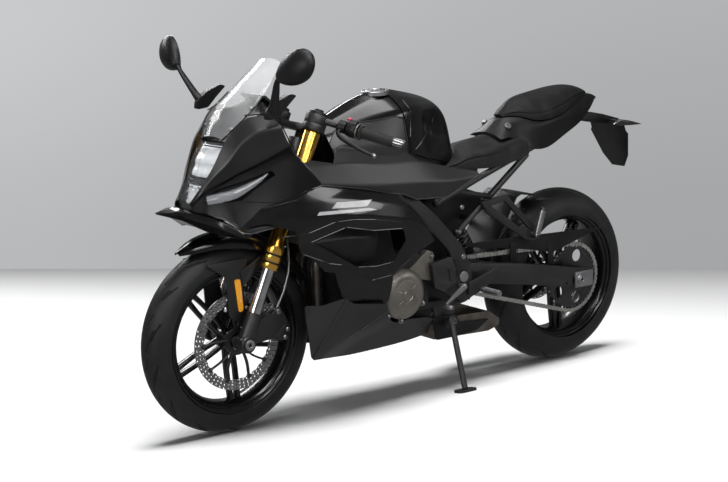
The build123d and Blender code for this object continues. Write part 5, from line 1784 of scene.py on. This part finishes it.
@dataclass
class Infill:
    """Dark forms inside the frame: pivot casting, battery sides, seat base, case end and pipe shield."""

    pivot: Profile = ((715, 467), (636, 481), (597, 469), (565, 430), (556, 388), (587, 372), (627, 343),
                      (671, 370), (701, 381))
    pocket: Profile = ((689, 428), (640, 442), (634, 392), (684, 404))
    battery: Profile = ((669, 653), (634, 690), (537, 700), (420, 660), (392, 604), (509, 543), (531, 525),
                        (580, 517), (642, 566), (703, 624))
    case: Profile = ((700, 300), (560, 300), (545, 400), (590, 540), (700, 640), (780, 640), (760, 300))
    base: Profile = ((800, 776), (620, 764), (480, 742), (480, 706), (640, 700), (800, 716))
    shield: Profile = ((655, 276), (552, 261), (534, 230), (442, 223), (396, 222), (451, 189), (547, 182),
                       (640, 182))

    def build(self, shop: Workshop) -> None:
        """Make the plates, each with rounded edges."""
        plate = shop.object("pivot_casting", both(prism(rounded(self.pivot, 9), 150, 166)))
        shop.carve(plate, [("DIFFERENCE", prism(rounded(self.pocket, 7), 161, 180))])
        shop.soften(plate, 2.0)
        shop.dress(plate, "chassis", Slot.satin_black)
        shop.make("battery_sides", both(prism(rounded(self.battery, 14), 40, 68)), "chassis",
                  Slot.black_plastic, edge=5.0)
        shop.make("seat_base", prism(rounded(self.base, 8), -112, 112), "chassis", Slot.black_plastic,
                  edge=4.0)
        shop.make("case_end", prism(rounded(self.case, 12), -96, 110), "chassis", Slot.engine_black, edge=5.0)
        shop.make("pipe_shield", prism(rounded(self.shield, 12), 93, 99), "chassis", Slot.black_plastic,
                  edge=2.0)


@dataclass
class Rests:
    """Rider's rests: black hangers, ribbed pegs, slim pedals, and bright sleeves on the folded rear pegs."""

    plate: Profile = ((558, 384), (500, 398), (430, 420), (424, 400), (480, 356), (535, 336), (560, 340))
    pedal: Profile = ((692, 320), (676, 324), (582, 372), (590, 388), (604, 382))

    def build(self, shop: Workshop) -> None:
        """Make both sides."""
        ribs = ribbed(12, 6, 13, ((0, 11), (3, 11), (3.5, 9.6), (5.5, 9.6)))
        peg = drum((500, 170, 352), (0, 1, 0), [(0, 9), (10, 9)] + ribs + [(92, 9)], 32)
        shop.make("rest_hangers", both(prism(rounded(self.plate, 7), 166, 174)), "chassis", Slot.satin_black,
                  "footrests", edge=1.5)
        shop.make("rest_pegs", both(peg), "chassis", Slot.bare_aluminium)
        lever = prism(rounded(self.pedal, 4), 184, 192)
        shafts = [drum((592, 166, 378), (0, 1, 0), [(0, 8), (28, 8)], 24),
                  drum((684, 184, 326), (0, 1, 0), [(0, 7), (44, 8), (48, 6)], 24)]
        shop.make("pedals", both(lever, *shafts), "chassis", Slot.bare_aluminium, "foot_controls", edge=0.8)
        foot, top = np.array([226.0, 146, 488]), np.array([200.0, 156, 596])
        ribs = ribbed(4, 7, 12, ((0, 11.6), (4, 11.6), (4.5, 10.8), (6.5, 10.8)))
        sleeve = drum(foot + (top - foot) * 0.12, top - foot, [(0, 10.6)] + ribs, 32)
        shop.make("rear_peg_sleeves", both(sleeve), "chassis", Slot.bare_aluminium)
        shop.refined("passenger_rests", "chassis", 1.5)


@dataclass
class Shock:
    """Rear shock absorber: a helical spring round a damper given as (share of the length, radius)."""

    foot: Triple = (404.0, 0.0, 428.0)
    top: Triple = (500.0, 0.0, 586.0)
    damper: Profile = ((0, 9), (0.06, 9), (0.07, 24), (0.2, 24), (0.21, 29), (0.23, 29), (0.24, 8), (0.5, 8),
                       (0.51, 21), (0.86, 21), (0.87, 30), (0.9, 30), (0.92, 14), (1, 14))
    coils: int = 7

    def build(self, shop: Workshop) -> None:
        """Make the damper and the spring between its seats."""
        foot, level = np.array(self.foot), np.array([0, 1, 0])
        way = np.array(self.top) - foot
        length = float(np.linalg.norm(way))
        body = drum(foot, way, [(place * length, radius) for place, radius in self.damper], 40)
        share = np.linspace(0, 1, self.coils * 24)
        side = np.cross(way / length, level)
        turn = (share * self.coils * 2 * pi)[:, None]
        wire = foot + way * (0.245 + 0.6 * share)[:, None] + 27 * (np.cos(turn) * side + np.sin(turn) * level)
        shop.make("shock_body", body, "chassis", Slot.satin_black, "shock")
        shop.make("shock_spring", swept(wire, 4.6, 10), "chassis", Slot.satin_black)


@dataclass
class Finished:
    """Solids whose form is already exact: flat faces joined and edges rounded, by a width for each."""

    body: str
    edges: dict[str, float]

    def build(self, shop: Workshop) -> None:
        """Finish each solid."""
        for node, edge in self.edges.items():
            shop.refined(node, self.body, edge)


@dataclass
class Bolts:
    """Visible fasteners of the frame and bodywork: (x, y, z, radius) on the left, repeated on the right."""

    heads: Sequence[tuple[float, float, float, float]] = (
        (578, 166, 474, 9), (560, 118, 404, 14), (500, 174, 352, 7), (592, 192, 378, 6), (226, 152, 500, 8),
        (580, 160, 640, 8), (596, 168, 560, 6))

    def build(self, shop: Workshop) -> None:
        """Make hexagon socket heads."""
        heads = [drum((x, y - 3, z), (0, 1, 0),
                      [(0, r), (5, r), (6.5, r - 1.5), (6.5, r * 0.5), (4, r * 0.48)], 24)
                 for x, y, z, r in self.heads]
        shop.make("frame_bolts", both(*heads), "chassis", Slot.bare_aluminium)


# ---------------------------------------------------------------- studio
@dataclass
class Studio:
    """Pale floor, grey wall, soft lights and the camera, whose target is in bike millimetres.

    boxes are lamps: name, place and aim in bike millimetres, width and height in metres, and power.
    """

    azimuth: float = 141.95
    elevation: float = 11.08
    distance: float = 5.498
    target: Triple = (868.0, 0.0, 538.0)
    roll: float = -0.371
    focal_pixels: float = 1669.1
    image: tuple[int, int] = (728, 482)
    sensor: float = 36.0
    wall_row: float = 269.0
    # dark and light ends of the painted shade on the floor and on the wall
    floor_tones: tuple[tuple, tuple] = ((0.5, 0.5, 0.505), (0.9, 0.9, 0.9))
    wall_tones: tuple[tuple, tuple] = ((0.375, 0.38, 0.385), (0.585, 0.59, 0.60))
    sky: tuple[float, float, float, float] = (0.80, 0.81, 0.83, 1.0)
    sky_strength: float = 0.14
    boxes: Sequence[tuple] = (
        ("overhead", (700, -100, 3600), (760, 0, 300), (3.0, 1.2), 62.0),
        ("rear_left_box", (-2500, 2700, 2300), (500, 100, 800), (2.6, 1.2), 62.0),
        ("near_strip", (1500, 3200, 2300), (800, 0, 600), (3.2, 0.4), 40.0),
        ("nose_box", (2100, 1800, 3500), (1350, 150, 850), (1.7, 1.3), 75.0),
        ("front_fill", (4600, 1200, 1700), (1300, 0, 700), (1.8, 1.0), 40.0),
        ("far_strip", (600, -3200, 2400), (700, 0, 700), (3.6, 0.5), 90.0))

    def view(self, bike: BikeFrame) -> tuple[np.ndarray, np.ndarray, np.ndarray, np.ndarray]:
        """Camera place and its right, up and backward directions, in the parked frame."""
        az, el, roll = radians(self.azimuth), radians(self.elevation), radians(self.roll)
        back = np.array([sin(az) * cos(el), -cos(az) * cos(el), sin(el)])
        right = np.cross(-back, (0, 0, 1))
        right /= np.linalg.norm(right)
        up = np.cross(right, -back)
        right, up = cos(roll) * right + sin(roll) * up, -sin(roll) * right + cos(roll) * up
        place = bike.place(np.array([self.target]) + back * self.distance * 1000)[0]
        return place, right @ bike.axes, up @ bike.axes, back @ bike.axes

    def camera(self, bike: BikeFrame) -> None:
        """Make the camera."""
        place, right, up, back = self.view(bike)
        data = bpy.data.cameras.new("camera")
        data.sensor_width = self.sensor
        data.lens = self.focal_pixels / self.image[0] * self.sensor
        camera = placed("camera", data)
        camera.matrix_world = Matrix(((right[0], up[0], back[0], place[0]),
                                      (right[1], up[1], back[1], place[1]),
                                      (right[2], up[2], back[2], place[2]), (0, 0, 0, 1)))
        bpy.context.scene.camera = camera

    def on_floor(self, bike: BikeFrame, column: float, row: float) -> np.ndarray:
        """Floor point behind a place in the picture.

        Args:
            bike: the parked frame.
            column, row: the place, in pixels of the image.
        Returns:
            The point in parked metres.
        """
        place, right, up, back = self.view(bike)
        way = -back + right * (column - self.image[0] / 2) / self.focal_pixels
        way = way - up * (row - self.image[1] / 2) / self.focal_pixels
        return place - way * place[2] / way[2]

    def plane(self, name: str, corners: Sequence[Sequence[float]], material: bpy.types.Material) -> None:
        """Flat stage piece through corners in metres."""
        data = bpy.data.meshes.new(name)
        data.from_pydata([tuple(c) for c in corners], [], [tuple(range(len(corners)))])
        data.materials.append(material)
        placed(name, data)

    def surfaces(self, bike: BikeFrame) -> None:
        """Floor that dims towards the wall, and a wall that is clear from behind and level in the picture and
        dims towards its foot and its right end; both fades are painted shade.
        """
        start = self.on_floor(bike, 0, self.wall_row)
        stop = self.on_floor(bike, self.image[0], self.wall_row)
        run = (stop - start) / np.linalg.norm(stop - start)
        ahead = np.cross(run, (0.0, 0.0, 1.0))
        floor = Sheet("studio_floor")
        gap = floor.node("ShaderNodeVectorMath", {"operation": "DOT_PRODUCT"}, out="Value", s0=floor.place(),
                         s1=ahead) - float(start @ ahead)
        # painted shade: the floor's colour grows darker towards the wall
        floor.feed(Base_Color=floor.mix(gap.ramp(-0.4, 2.0), *self.floor_tones), Roughness=0.8,
                   Specular_IOR_Level=0.0)
        self.backed(floor, (*self.floor_tones[1], 1.0), 0.0)
        self.plane("floor", [(-30, -30, 0), (30, -30, 0), (30, 30, 0), (-30, 30, 0)], floor.material)
        wall = Sheet("studio_wall")
        height = wall.node("ShaderNodeSeparateXYZ", out="Z", Vector=wall.place())
        along = wall.node("ShaderNodeVectorMath", {"operation": "DOT_PRODUCT"}, out="Value", s0=wall.place(),
                          s1=run) - float(start @ run)
        # painted shade: the wall is darker towards its foot and towards its right end
        share = height.ramp(0.0, 2.2) * 0.5 + (1.0 - along.ramp(0.0, float((stop - start) @ run))) * 0.5
        tone = wall.mix(share, *self.wall_tones)
        wall.feed(Base_Color=tone, Roughness=0.9)
        self.backed(wall, tone, 1.0)
        front = wall.output.inputs["Surface"].links[0].from_socket
        seen = wall.node("ShaderNodeMixShader", s0=wall.node("ShaderNodeNewGeometry", out="Backfacing"),
                         s1=Value(wall, front), s2=wall.node("ShaderNodeBsdfTransparent"))
        wall.tree.links.new(seen.socket, wall.output.inputs["Surface"])
        tall = np.array([0.0, 0.0, 9.0])
        start, stop = start - run * 20, stop + run * 20
        self.plane("wall", [start, stop, stop + tall, start + tall], wall.material)

    @staticmethod
    def backed(sheet: Sheet, colour: Value | tuple, share: float) -> None:
        """Let reflections meet a dim glow in place of the surface, so that the bodywork stays dark.

        Args:
            sheet: the surface's tree, with its shader fed.
            colour: colour of the glow.
            share: how far the camera, directly or through glass, meets the bright glow and not the shader.
        """
        camera = sheet.node("ShaderNodeLightPath", out="Is Camera Ray")
        through = sheet.node("ShaderNodeLightPath", out="Is Transmission Ray")
        glossy = sheet.node("ShaderNodeLightPath", out="Is Glossy Ray")
        glow = sheet.node("ShaderNodeEmission", Color=colour, Strength=1.0)
        dim = sheet.node("ShaderNodeEmission", Color=colour, Strength=0.3)
        front = sheet.node("ShaderNodeMixShader", s0=(camera + through) * share,
                           s1=Value(sheet, sheet.shader.outputs[0]), s2=glow)
        mix = sheet.node("ShaderNodeMixShader", s0=glossy, s1=front, s2=dim)
        sheet.tree.links.new(mix.socket, sheet.output.inputs["Surface"])

    def lights(self, bike: BikeFrame) -> None:
        """A wide sun straight overhead for the floor, and boxes that only glossy surfaces see."""
        for name, place, aim, (wide, tall), power in self.boxes:
            data = bpy.data.lights.new(name, "AREA")
            data.shape = "RECTANGLE"
            data.size, data.size_y, data.energy = wide, tall, power
            self.hang(bike, name, data, place, aim).visible_diffuse = False
        sun = bpy.data.lights.new("sky_panel", "SUN")
        sun.energy, sun.angle = 3.5, radians(28)
        self.hang(bike, "sky_panel", sun, (700, 0, 4000), (700, 0, 0)).visible_glossy = False
        world = bpy.data.worlds.new("studio")
        world.use_nodes = True
        sky = world.node_tree.nodes["Background"].inputs
        sky[0].default_value, sky[1].default_value = self.sky, self.sky_strength
        bpy.context.scene.world = world
        bpy.context.scene.view_settings.view_transform = "Standard"

    @staticmethod
    def hang(bike: BikeFrame, name: str, data: bpy.types.Light, place: Sequence[float],
             aim: Sequence[float]) -> bpy.types.Object:
        """Hang a lamp at a place, turned to its aim, both in bike millimetres.

        Args:
            bike: the parked frame.
            name, data: name and data of the lamp.
            place, aim: the two points.
        Returns:
            The lamp.
        """
        lamp = placed(name, data)
        start, stop = bike.place(np.array([place, aim], float))
        turn = Vector(stop - start).to_track_quat("-Z", "Y").to_matrix().to_4x4()
        lamp.matrix_world = Matrix.Translation(start) @ turn
        return lamp

    def build(self, shop: Workshop) -> None:
        """Make the studio."""
        self.camera(shop.bike)
        self.surfaces(shop.bike)
        self.lights(shop.bike)


def main() -> None:
    """Build every sub-assembly in order."""
    logging.basicConfig(level=logging.INFO, format="%(message)s")
    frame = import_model()
    shop = Workshop(frame)
    Studio().build(shop)
    shop.paint_nodes()
    for part in ASSEMBLIES:
        part.build(shop)
        LOG.info("built %s", type(part).__name__)


ASSEMBLIES = [
    Bolts(),
    Wheel("front", "front_wheel", FRONT_AXLE, FRONT_RADIUS, half_width=57.0, bead=46.0, hub_radius=34.0,
          hub_half=46.0, spoke_half=13.0, pitches=14,
          cuts=[(0.05, 12, 0.55, 34), (0.30, 30, 0.72, 50), (0.62, 6, 0.90, 20)]),
    Wheel("rear", "rear_wheel", REAR_AXLE, REAR_RADIUS, half_width=80.0, bead=64.0, hub_radius=44.0,
          hub_half=70.0, spoke_half=16.0, pitches=12,
          cuts=[(0.05, 14, 0.50, 40), (0.28, 34, 0.70, 66), (0.60, 8, 0.88, 26)]),
    Rotor("front_brake", "front_wheel", FRONT_AXLE, "front_disc", radius=155.0, web=34.0, y_from=55.5,
          y_to=60.5, hub=44.0, columns=60, rows=3, hole=3.4),
    Rotor("rear_brake", "rear_wheel", REAR_AXLE, "rear_disc", radius=110.0, web=28.0, y_from=-82.0,
          y_to=-77.0, hub=46.0, columns=44, rows=2, hole=3.2),
    Chain(),
    Tank(), SIDE_PANEL, BELLY_PANEL, COVER_PANEL, NOSE_PANEL, NOSE_SHADE_SHEET, VENT_PANEL, RIDER_PAD, PILLION_PAD,
    Tail(), Headlight(), DayLamps(), Screen(), Mirrors(), Fork(), Cockpit(), Mudguard(), GeneratorCover(),
    Infill(), Rests(), Shock(), STRIPE_LOW, STRIPE_HIGH, TANK_HUMP, TANK_SIDE,
    Finished("chassis", {
        "swingarm": 3.0, "frame_spars": 3.0, "head_tube": 2.0, "rear_subframe": 1.5, "engine_block": 4.0,
        "exhaust_headers": 0.6, "silencer": 4.0, "stand_bracket": 1.5, "rear_caliper": 2.0,
        "rear_hugger": 0.8, "rear_axle": 1.0, "pivot_bolt": 1.0, "plate_holder": 1.4, "rear_indicators": 2.5,
        "rear_lamps": 1.0, "beak": 2.0, "radiator": 1.0}),
    Finished("steering", {"front_axle": 1.2}), Finished("rear_wheel", {"rear_sprocket": 0.6}),
    Finished("side_stand", {"side_stand": 1.5}),
]

if __name__ == "__main__":
    main()
